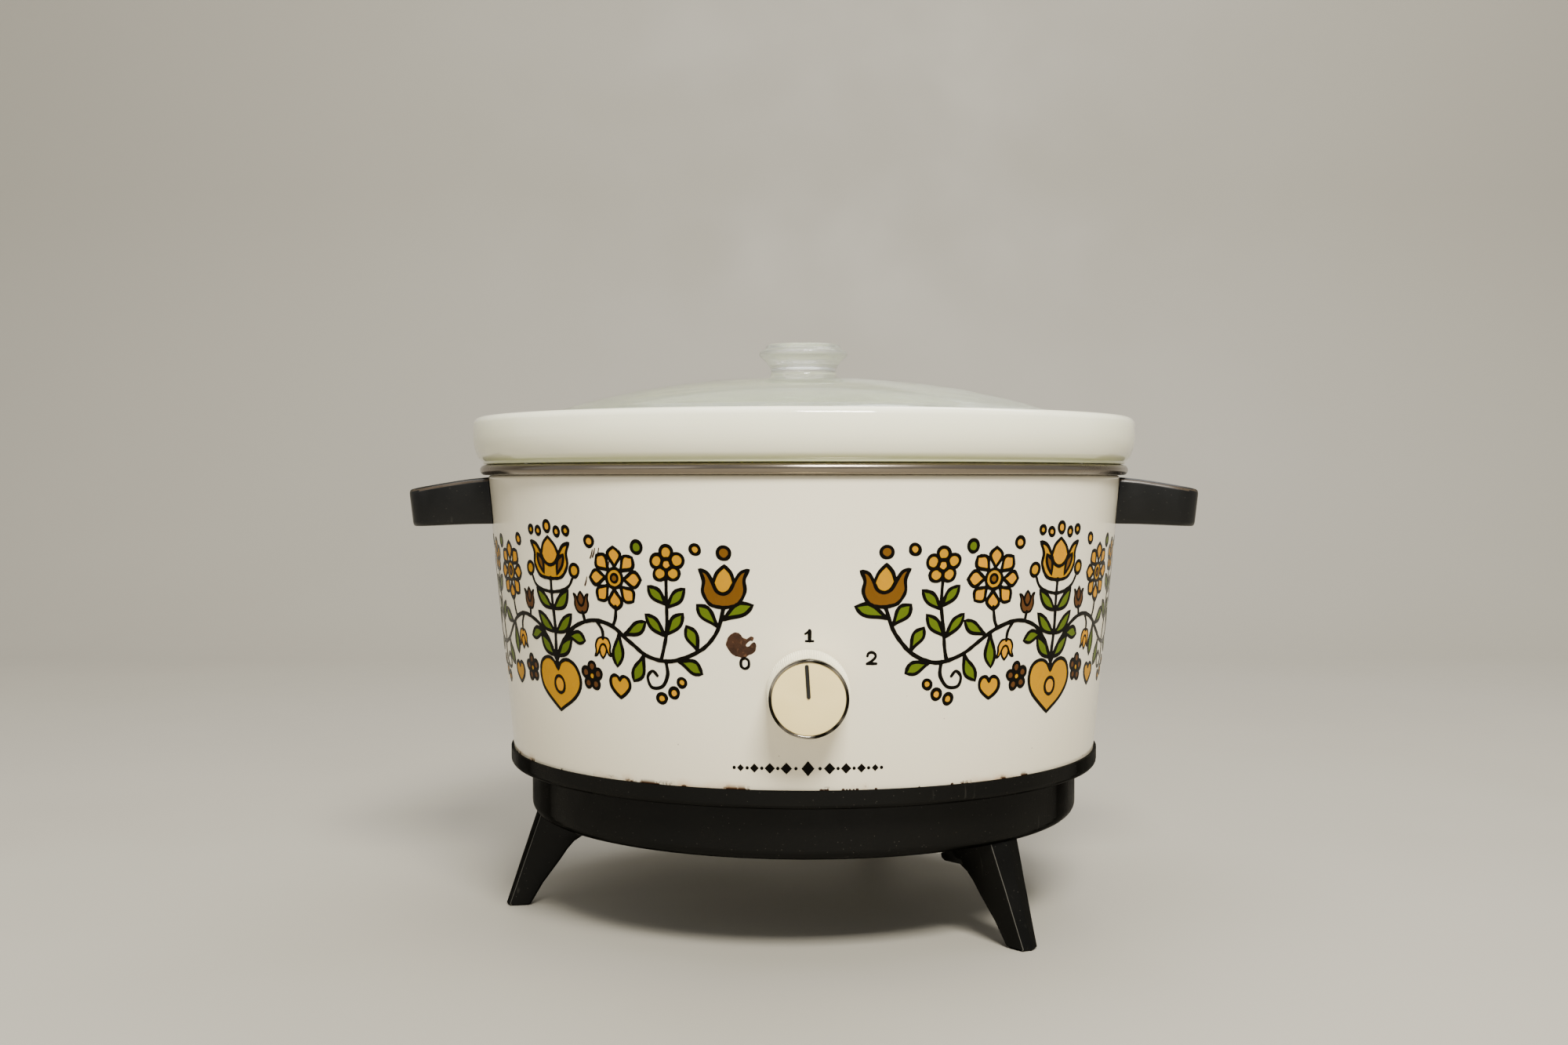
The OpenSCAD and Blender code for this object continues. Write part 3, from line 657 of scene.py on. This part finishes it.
def knob_frame(turn=0.0):
    """Z along the knob's axis away from the housing, Y up the wall."""
    place = Vector((0, -shell_r(KNOB_Z), KNOB_Z)) * MM
    return (Matrix.Translation(place) @ Matrix.Rotation(math.pi / 2 + TILT, 4, "X")
            @ Matrix.Rotation(math.radians(turn), 4, "Z"))


def spun_face():
    """Cream lacquer over spun metal: faint rings and a sheen that fans out from the centre."""
    m = Mat("spun_face", srgb(255, 230, 160), 0.34, Metallic=0.05, Anisotropic=0.85,
            Coat_Weight=0.25, Coat_Roughness=0.1)
    tangent = m.node("Tangent", direction_type="RADIAL", axis="Z")
    m.link(tangent.outputs[0], m.bsdf.inputs["Tangent"])
    rings = m.node("TexWave", wave_type="RINGS", rings_direction="Z")
    rings.inputs["Scale"].default_value = 900
    m.link(m.coords, rings.inputs["Vector"])
    m.tint(m.span(m.noise(90, 3), 0.45, 0.8, 0, 0.35), srgb(248, 222, 140))
    m.tint(m.span(m.cells(500), 0.07, 0.03, 0, 0.3), srgb(150, 126, 90))
    m.gloss(m.noise(120, 4), 0.3, 0.7, 0.26, 0.42)
    m.bump(rings.outputs["Fac"], 0.000012)
    return m.mat


def make_knob():
    """Skirt, trim, disc and pointer; heights are along the knob's axis, from the housing."""
    place = knob_frame(POINTER_TURN)
    flute, flutes, sides_each = 0.65, 110, 4
    skirt = [(0, 13), (3.05, 13), (3.05, 5.5), (9.5, 5.5), (9.5, 1), (15.7, 1, 0), (15.9, 1.3, 0),
             (15.9, 1.9, flute), (15.15, 13.2, flute), (15.0, 13.9, 0), (14.55, 14.15),
             (14.55, 15.1), (0, 15.1)]
    knob = lathe("ribbed_knob", skirt, CREAM, "knob", flutes * sides_each, flutes, place)
    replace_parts(knob, "control_knob")
    bezel = rounded([(14.6, 14.2), (15.05, 14.2), (15.05, 16.4, 0.45), (14.05, 16.2, 0.3),
                     (13.85, 15.6), (13.85, 15.3), (14.6, 15.3)])
    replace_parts(lathe("knob_trim", bezel, BEZEL, "knob", 192, 0, place), "knob_bezel")
    face = [(0, 15.15), (13.8, 15.15), (13.8, 15.72), (13.2, 15.86), (6, 15.8), (0, 15.78)]
    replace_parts(lathe("knob_disc", face, spun_face(), "knob", 192, 0, place), "knob_face")
    tip, tail, half, middle = 12.35, 0.85, 0.75, 6.6
    bar = arc((0, tip), half, 0, 180) + arc((0, tail), half, 180, 360)
    top = [(x * 0.86, middle + (y - middle) * 0.99) for x, y in bar]
    rings = [[(x, y, z) for x, y in line] for line, z in ((bar, 15.5), (bar, 16.05), (top, 16.18))]
    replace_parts(loft("pointer", rings, MARK, "knob", place), "knob_pointer")


make_knob()


# ---------------------------------------------------------------- print on the housing
# Drawn flat: x from a motif's middle line, y up from the lip, then wrapped onto the wall.

LINE = 0.95
SPREAD = 1.48             # how much wider the ink runs than the pen
CELL = 3.0                # outlines are sorted by squares of this side
INK_ROOT = 0.1            # how far the ink reaches into the enamel


def curve(points, steps=5, closed=False):
    """A smooth line through the points."""
    count = len(points)
    spans = count if closed else count - 1
    out = []
    for i in range(spans):
        if closed:
            p = [Vector(points[(i + k) % count]) for k in (-1, 0, 1, 2)]
        else:
            p = [Vector(points[min(max(i + k, 0), count - 1)]) for k in (-1, 0, 1, 2)]
        for s in range(steps):
            t = s / steps
            out.append(0.5 * (2 * p[1] + (p[2] - p[0]) * t
                              + (2 * p[0] - 5 * p[1] + 4 * p[2] - p[3]) * t * t
                              + (3 * p[1] - p[0] - 3 * p[2] + p[3]) * t * t * t))
    if not closed:
        out.append(Vector(points[-1]))
    return out


def joined(*parts):
    """A closed outline from smooth parts that meet at sharp corners."""
    out = []
    for part in parts:
        out += curve(part)[:-1]
    return out


def circle(x, y, radius, steps=18):
    return [Vector((x + radius * math.cos(2 * math.pi * i / steps),
                    y + radius * math.sin(2 * math.pi * i / steps))) for i in range(steps)]


class Drawing:
    """Closed outlines by colour."""

    def __init__(self):
        self.shapes = {}

    def fill(self, color, outline):
        self.shapes.setdefault(color, []).append(list(outline))

    def stroke(self, line, width=LINE, end=None, closed=False):
        """A pen line: short pieces that share their edges, a little uneven in width."""
        end = width if end is None else end
        count = len(line)
        left, right = [], []
        length = 0.0
        for i, point in enumerate(line):
            before = line[i - 1] if (i or closed) else point
            after = line[(i + 1) % count] if (i + 1 < count or closed) else point
            along = (after - before).normalized()
            across = Vector((-along.y, along.x))
            length += (point - line[i - 1]).length if i else 0
            w = width + (end - width) * i / max(count - 1, 1)
            w *= SPREAD * (1 + 0.10 * math.sin(0.9 * length + point.x))
            left.append(point + across * w / 2)
            right.append(point - across * w / 2)
        for i in range(count if closed else count - 1):
            j = (i + 1) % count
            self.fill("line", [left[i], right[i], right[j]])
            self.fill("line", [left[i], right[j], left[j]])
        if not closed:
            self.fill("line", circle(line[0].x, line[0].y, SPREAD * width / 2, 8))
            self.fill("line", circle(line[-1].x, line[-1].y, SPREAD * end / 2, 8))

    def pen(self, points, width=LINE, end=None):
        self.stroke(curve(points), width, end)

    def shape(self, color, outline, width=LINE):
        self.fill(color, outline)
        self.stroke(outline, width, closed=True)

    def dot(self, color, x, y, radius, width=LINE):
        self.shape(color, circle(x, y, radius), width)

    def leaf(self, color, base, tip, width, bend=0.0, blunt=1.0, line=LINE):
        """A leaf or, with blunt over 1, a drop that is fuller towards its tip."""
        base, tip = Vector(base), Vector(tip)
        along = tip - base
        across = Vector((-along.y, along.x)).normalized()
        steps = 10
        sides = ([], [])
        for i in range(steps + 1):
            t = i / steps
            middle = base + along * t + across * bend * math.sin(math.pi * t)
            half = width / 2 * math.sin(math.pi * t ** blunt)
            sides[0].append(middle + across * half)
            sides[1].append(middle - across * half)
        self.shape(color, sides[0][:-1] + sides[1][:0:-1], line)

    def flower(self, color, middle, x, y, petal, ring, turn=90, heart=None):
        for k in range(5):
            a = math.radians(turn + 72 * k)
            self.dot(color, x + ring * math.cos(a), y + ring * math.sin(a), petal)
        self.dot(middle, x, y, heart or petal * 0.8)

    def daisy(self, color, middle, x, y, inner, outer, petals, wide):
        for k in range(petals):
            a = math.radians(90 + 360 * k / petals)
            self.leaf(color, (x + inner * math.cos(a), y + inner * math.sin(a)),
                      (x + outer * math.cos(a), y + outer * math.sin(a)), wide, 0, 1.5)
        self.dot(middle, x, y, inner)

    def tulip(self, cup, petal, x, y, wide, tall, width=LINE):
        """A plain cup of two petals round a third, from its stem; it hangs with tall under 0."""
        def at(*points):
            return [(x + wide * u, y + tall * v) for u, v in points]

        notch = [(-0.5, 0.66), (-0.3, 0.46), (0, 0.38), (0.3, 0.46), (0.5, 0.66)]
        self.shape(petal, joined(at(*notch), at((0.5, 0.66), (0.34, 0.92), (0, 1.12)),
                                 at((0, 1.12), (-0.34, 0.92), (-0.5, 0.66))), width)
        self.shape(cup, joined(at((0, 0), (0.62, 0.08), (0.98, 0.40), (0.94, 0.72), (1.12, 1.0)),
                               at((1.12, 1.0), (0.78, 0.92), (0.5, 0.66)), at(*notch[::-1]),
                               at((-0.5, 0.66), (-0.78, 0.92), (-1.12, 1.0)),
                               at((-1.12, 1.0), (-0.94, 0.72), (-0.98, 0.40), (-0.62, 0.08),
                                  (0, 0))), width)

    def heart(self, color, x, y, wide, tall, width=LINE):
        """A plain heart, its point at x, y."""
        side = [(0, 0.78), (0.20, 0.95), (0.52, 1.0), (0.86, 0.90), (1.0, 0.68), (0.90, 0.44),
                (0.50, 0.20), (0, 0)]
        right = [(x + wide * u, y + tall * v) for u, v in side]
        left = [(2 * x - u, v) for u, v in right[::-1]]
        self.shape(color, joined(right, left), width)

    def mirrored(self):
        for color in list(self.shapes):
            twins = [[Vector((-p.x, p.y)) for p in shape] for shape in self.shapes[color]]
            self.shapes[color] += twins


def middle_stem(d):
    """The upright stem in the middle: a heart, pairs of leaves and a tulip."""
    d.heart("gold", 0, 25.0, 14.2, 21.4)
    d.dot("amber", 0, 35.6, 3.4)
    d.pen([(0, 42.4), (0, 52), (0, 62), (0, 79)], 1.5, 1.1)
    for y, reach in ((47.4, 10.6), (57.0, 11.6), (66.4, 10.8)):
        d.leaf("green", (0.4, y), (reach, y + 8.4), 4.6, -0.9, 1.1)
    d.tulip("gold", "amber", 0, 78.6, 11.6, 15.4)
    d.leaf("brown", (4.4, 80.8), (9.0, 89.0), 3.4, 0.4, 1.2)
    d.dot("amber", 0, 100.0, 2.1)
    d.dot("amber", 6.4, 98.2, 1.7)
    d.dot("gold", 12.0, 98.8, 1.7)
    d.pen([(0.4, 73.4), (6.2, 74.2), (11.4, 76.4), (14.0, 80.0)], 0.95, 0.8)
    d.dot("gold", 15.2, 83.0, 2.5)


def vine(d):
    """A wavy stem out to the side, with leaves, a hanging bud, berries and a curl."""
    d.pen([(0.4, 46.0), (5.4, 54.0), (13.0, 60.4), (23.0, 63.4), (33.4, 61.4), (42.6, 55.6),
           (51.4, 50.4), (61.2, 48.8), (71.0, 52.2), (78.8, 59.6), (83.0, 70.4)], 1.2, 1.1)
    d.pen([(19.2, 62.8), (18.4, 66.6)], 0.95)
    d.tulip("umber", "umber", 18.3, 66.2, 3.8, 7.6, 0.6)
    d.pen([(26.0, 63.0), (28.4, 59.6), (28.6, 56.0)], 0.95)
    d.tulip("amber", "amber", 28.6, 56.6, 4.0, -7.4, 0.6)
    for base, tip, width, bend in (
            ((7.6, 56.4), (18.8, 55.0), 4.4, 0.8), ((39.0, 58.4), (49.6, 64.2), 4.4, -0.8),
            ((37.0, 59.6), (35.6, 45.6), 4.8, 0.3), ((49.0, 51.6), (43.4, 40.6), 4.8, 0.6),
            ((63.4, 49.0), (73.8, 44.6), 4.6, 0.7), ((72.2, 52.8), (67.4, 62.4), 4.6, -0.5),
            ((81.6, 65.6), (94.4, 71.2), 4.8, 0.5), ((80.4, 62.6), (72.6, 71.0), 4.8, -0.5)):
        d.leaf("green", base, tip, width, bend, 1.6)
    d.pen([(58.6, 49.0), (59.2, 43.6), (56.4, 39.0), (51.4, 38.6), (49.8, 42.4), (52.2, 44.8),
           (54.4, 43.0)], 1.05, 0.85)
    d.dot("gold", 55.6, 34.2, 1.9)
    d.dot("amber", 61.0, 36.4, 1.9)
    d.dot("gold", 64.8, 40.4, 1.7)
    d.heart("gold", 36.2, 33.2, 5.0, 8.6)
    d.flower("umber", "gold", 21.4, 41.0, 1.9, 3.7, 84, 1.6)
    d.tulip("brown", "gold", 83.2, 70.4, 8.4, 14.4)
    d.dot("brown", 83.2, 91.4, 2.3)


def upper_flowers(d):
    """The large daisy above the vine and a sprig with a round flower beside it."""
    d.pen([(34.0, 61.4), (35.6, 64.6), (36.4, 69.4)], 1.1, 0.95)
    d.daisy("amber", "gold", 36.6, 80.4, 4.0, 12.2, 8, 6.0)
    d.dot("brown", 36.6, 80.4, 1.7, 0.7)
    d.pen([(56.4, 49.0), (58.6, 58.0), (59.8, 68.0), (60.0, 81.4)], 1.1, 0.95)
    for base, tip in (((58.8, 59.0), (66.2, 67.2)), ((58.4, 58.4), (50.2, 67.0)),
                      ((60.0, 69.4), (67.8, 76.8)), ((59.8, 70.6), (52.4, 78.0))):
        d.leaf("green", base, tip, 4.2, 0, 1.3)
    d.flower("gold", "amber", 60.2, 86.4, 2.6, 4.5, 90, 2.1)
    d.dot("green", 47.6, 93.2, 2.3)
    d.dot("amber", 24.6, 94.6, 2.1)
    d.dot("gold", 72.0, 92.4, 1.9)


def inside(p, outline):
    """Whether a point is in a closed outline."""
    odd = False
    for a, b in zip(outline, outline[1:] + outline[:1]):
        if (a.y > p.y) != (b.y > p.y) and p.x < a.x + (p.y - a.y) / (b.y - a.y) * (b.x - a.x):
            odd = not odd
    return odd


def union(outlines, wide=False):
    """The outlines' union as 2D points and triangles; a wide one gets points inside too."""
    points, edges, near = [], [], {}
    for outline in outlines:
        first, count = len(points), len(outline)
        edges += [(first + i, first + (i + 1) % count) for i in range(count)]
        points += outline
        spans = []
        for axis in (0, 1):
            values = [p[axis] for p in outline]
            spans.append(range(math.floor(min(values) / CELL), math.floor(max(values) / CELL) + 1))
        for i in spans[0]:
            for j in spans[1]:
                near.setdefault((i, j), []).append(outline)
                if wide and len(spans[0]) > 2:
                    points.append(Vector((i * CELL, j * CELL)))
    verts, _, tris, _, _, _ = delaunay_2d_cdt(points, edges, [], 0, 0.0005)
    kept = {}
    for t in tris:
        middle = (verts[t[0]] + verts[t[1]] + verts[t[2]]) / 3
        place = (math.floor(middle.x / CELL), math.floor(middle.y / CELL))
        if any(inside(middle, outline) for outline in near.get(place, ())):
            kept[frozenset(t)] = t
    used = sorted({i for t in kept.values() for i in t})
    index = {old: new for new, old in enumerate(used)}
    return [verts[i] for i in used], [tuple(index[i] for i in t) for t in kept.values()]


def on_wall(turn, x, y, lift):
    """A flat drawing's point on the housing, x millimetres along it from that turn."""
    a = math.radians(turn) + x / PRINT_R
    r = shell_r(LIP_Z + y) + lift
    return (r * math.sin(a), -r * math.cos(a), LIP_Z + y)


def unsteady(x, y, phase):
    """The slight wander of a hand-drawn line."""
    return (x + 0.28 * math.sin(0.23 * y + phase) + 0.14 * math.sin(0.41 * x - 0.3 * y + phase),
            y + 0.26 * math.sin(0.19 * x + 1.7 * phase) + 0.12 * math.sin(0.5 * y + 0.2 * x))


def print_on(name, flat, turns, lift, mat, wander=False):
    """One ink: thin closed plates on the wall, the same drawing at each turn."""
    points, tris = flat
    edges = {}
    for t in tris:
        for i in range(3):
            a, b = t[i], t[(i + 1) % 3]
            edges[(min(a, b), max(a, b))] = None if (min(a, b), max(a, b)) in edges else (a, b)
    verts, faces = [], []
    count = len(points)
    for turn in turns:
        base = len(verts)
        for height in (lift, -INK_ROOT):
            for p in points:
                x, y = unsteady(p.x, p.y, 0.13 * turn) if wander else p
                verts.append(on_wall(turn, x, y, height))
        for t in tris:
            faces.append(tuple(base + i for i in t))
            faces.append(tuple(base + count + i for i in reversed(t)))
        for pair in edges.values():
            if pair:
                a, b = pair
                faces.append((base + b, base + a, base + count + a, base + count + b))
    return add_mesh(name, verts, faces, mat, "cooker", sharp=30)


# each ink's colour, and how high it stands on the enamel
INKS = {
    "gold": (srgb(187, 133, 0), 0.05), "amber": (srgb(206, 142, 2), 0.07),
    "brown": (srgb(106, 70, 22), 0.09), "umber": (srgb(86, 54, 26), 0.09),
    "green": (srgb(84, 100, 22), 0.09), "line": (srgb(10, 8, 5), 0.14),
}
MOTIF_TURNS = (-48.0, 46.8, 132.0, -133.0)
FRONT = (0,)


def make_print():
    d = Drawing()
    for part in (middle_stem, vine, upper_flowers):
        part(d)
    d.mirrored()
    for color, (tone, lift) in INKS.items():
        flat = union(d.shapes[color], color != "line")
        print_on("print_" + color, flat, MOTIF_TURNS, lift, ink("ink_" + color, tone), True)


def make_dial_marks():
    """Numerals for the three heat settings and a plain ornament line under the knob."""
    d = Drawing()
    # 0
    d.stroke(curve([(-24.4, 51.0), (-25.7, 50.3), (-26.0, 49.0), (-25.7, 47.7), (-24.4, 47.0),
                    (-23.1, 47.7), (-22.8, 49.0), (-23.1, 50.3)], closed=True), 0.75, closed=True)
    # 1: flag, stem and foot
    d.pen([(-1.1, 60.6), (-0.2, 61.2), (0.5, 62.0)], 0.6)
    d.pen([(0.5, 61.8), (0.5, 57.9)], 0.95)
    d.pen([(-0.9, 57.8), (1.9, 57.8)], 0.6)
    # 2: bow and foot
    d.pen([(22.8, 51.9), (23.2, 52.9), (24.5, 53.3), (25.8, 52.6), (25.9, 51.3), (24.6, 50.0),
           (22.8, 48.9)], 0.75)
    d.pen([(22.7, 48.9), (26.3, 48.9)], 0.75)
    # the ornament line: diamonds that get smaller outwards, with dots between them
    row, dot, middle = 8.5, 0.7, (2.6, 3.0)
    for side in (-1, 1):
        for x, size in ((8.6, 2.3), (15.2, 2.1), (21.4, 1.8), (27.0, 1.4)):
            d.fill("line", [Vector((side * (x - size), row)), Vector((side * x, row - size)),
                            Vector((side * (x + size), row)), Vector((side * x, row + size))])
        for x in (4.8, 12.0, 18.4, 24.3, 29.6):
            d.fill("line", circle(side * x, row, dot, 10))
    d.fill("line", [Vector((-middle[0], row)), Vector((0, row - middle[1])),
                    Vector((middle[0], row)), Vector((0, row + middle[1]))])
    print_on("dial_marks", union(d.shapes["line"], True), FRONT, 0.12,
             ink("ink_marks", srgb(10, 8, 5)))


make_print()
make_dial_marks()


# ---------------------------------------------------------------- wear

def ragged(points, amount, seed, steps=7):
    """A closed outline with an irregular, chipped edge."""
    rng = random.Random(seed)
    out = []
    for point in curve(points, steps, closed=True):
        out.append(point + Vector((rng.uniform(-amount, amount), rng.uniform(-amount, amount))))
    return out


def make_wear():
    """A chip in the enamel beside the knob, scratches and rust crumbs at the bottom edge."""
    outline = [(-31.7, 56.0), (-30.9, 58.6), (-29.7, 60.2), (-27.8, 60.9), (-26.1, 60.4),
               (-25.2, 59.0), (-23.6, 58.5), (-22.0, 59.5), (-20.8, 58.9), (-21.4, 57.6),
               (-22.4, 57.7), (-23.9, 56.1), (-23.0, 55.5), (-21.7, 56.8), (-20.3, 57.2),
               (-19.8, 55.8), (-20.2, 54.0), (-21.3, 52.8), (-23.0, 52.1), (-24.8, 51.0),
               (-26.4, 51.4), (-28.0, 51.7), (-29.4, 52.5), (-30.6, 54.0)]
    bare_rim = 0.28                             # width of the white edge round the chip
    chip = ragged(outline, 0.10, 3, 3)
    middle = Vector((-26, 55.8))
    rim = [middle + (p - middle) * (1 + bare_rim / (p - middle).length) for p in chip]
    rust = bare_rust()
    edge = Mat("chipped_edge", srgb(240, 230, 208), 0.5)
    edge.tint(edge.span(edge.noise(500, 3), 0.45, 0.7, 0, 0.7), srgb(200, 176, 140))
    edge.bump(edge.noise(900, 2), 0.00005)
    print_on("chip_edge", union([rim], True), FRONT, 0.02, edge.mat)
    print_on("enamel_chip", union([chip], True), FRONT, 0.05, rust)
    d = Drawing()
    rng = random.Random(11)
    # short scratches in the left motif, then crumbs of rust along the housing's lower edge
    for x, y in ((-90.2, 88.2), (-89.0, 88.6), (-87.2, 87.9), (-82.0, 84.0), (-94.2, 77.2)):
        run = rng.uniform(2.2, 4.4)
        d.pen([(x, y), (x + run * 0.25, y + run * 0.5), (x + run * 0.4, y + run)], 0.55, 0.3)
    for x in (5.2, 6.0, 6.9, 7.8, 14.2, 15.6, 16.9, 18.4, 19.8, 27.5, 46.0, 61.0):
        size = rng.uniform(0.35, 0.75)
        d.fill("line", ragged([(x - size, 0.2), (x, -0.2), (x + size, 0.2), (x, size)], 0.12, x))
    print_on("rust_crumbs", union(d.shapes["line"]), FRONT, 0.1, rust)


make_wear()


# ---------------------------------------------------------------- camera, lights, floor

def camera():
    distance, height, lens = 0.768, 0.18977, 38.34
    turn, aside, pitch = math.radians(0.8), math.radians(0.66), math.radians(1.455)
    data = bpy.data.cameras.new("camera")
    data.lens = lens
    data.sensor_width = 36
    obj = bpy.data.objects.new("camera", data)
    obj.location = (-distance * math.sin(turn), -distance * math.cos(turn), height)
    obj.rotation_euler = (math.pi / 2 - pitch, 0, aside - turn)
    bpy.context.scene.collection.objects.link(obj)
    bpy.context.scene.camera = obj


def area_light(name, place, target, size, power, color=(1, 1, 1)):
    data = bpy.data.lights.new(name, "AREA")
    data.shape = "RECTANGLE"
    data.size, data.size_y = size
    data.energy = power
    data.color = color
    obj = bpy.data.objects.new(name, data)
    obj.location = place
    aim = Vector(target) - Vector(place)
    obj.rotation_euler = aim.to_track_quat("-Z", "Y").to_euler()
    bpy.context.scene.collection.objects.link(obj)


def studio():
    area_light("key", (0.3, -1.4, 1.6), (0, 0, 0.12), (0.7, 0.5), 86, (1, 0.975, 0.90))
    area_light("fill", (-1.6, -1.1, 0.8), (0, 0, 0.12), (1.3, 1.0), 3, (1, 0.99, 0.95))
    area_light("top", (0, 0.1, 1.9), (0, 0, 0.1), (1.5, 1.5), 22)
    area_light("back", (0.7, 1.1, 1.9), (0, 0, 0.15), (1.2, 0.6), 14)
    world = bpy.data.worlds.new("studio")
    bpy.context.scene.world = world
    world.use_nodes = True
    background = world.node_tree.nodes["Background"]
    background.inputs["Color"].default_value = (0.80, 0.79, 0.76, 1)
    background.inputs["Strength"].default_value = 0.68


def floor():
    """A pale floor that sweeps up into a pale wall behind."""
    near, far, radius, top, wide = -3.0, 1.0, 0.6, 3.0, 4.0
    line = [(near, 0.0)]
    steps = 16
    for i in range(steps + 1):
        a = math.radians(90 * i / steps)
        line.append((far + radius * math.sin(a), radius * (1 - math.cos(a))))
    line.append((far + radius, top))
    bm = bmesh.new()
    rows = [[bm.verts.new((x, y, z)) for y, z in line] for x in (-wide, wide)]
    for i in range(len(line) - 1):
        bm.faces.new((rows[0][i], rows[1][i], rows[1][i + 1], rows[0][i + 1])).smooth = True
    mesh = bpy.data.meshes.new("floor")
    bm.to_mesh(mesh)
    obj = bpy.data.objects.new("floor", mesh)
    bpy.context.scene.collection.objects.link(obj)
    m = Mat("floor_paint", srgb(160, 155, 143), 0.6)
    m.gloss(m.noise(6, 3), 0.3, 0.7, 0.5, 0.7)
    paint(obj, m.mat)


camera()
studio()
floor()
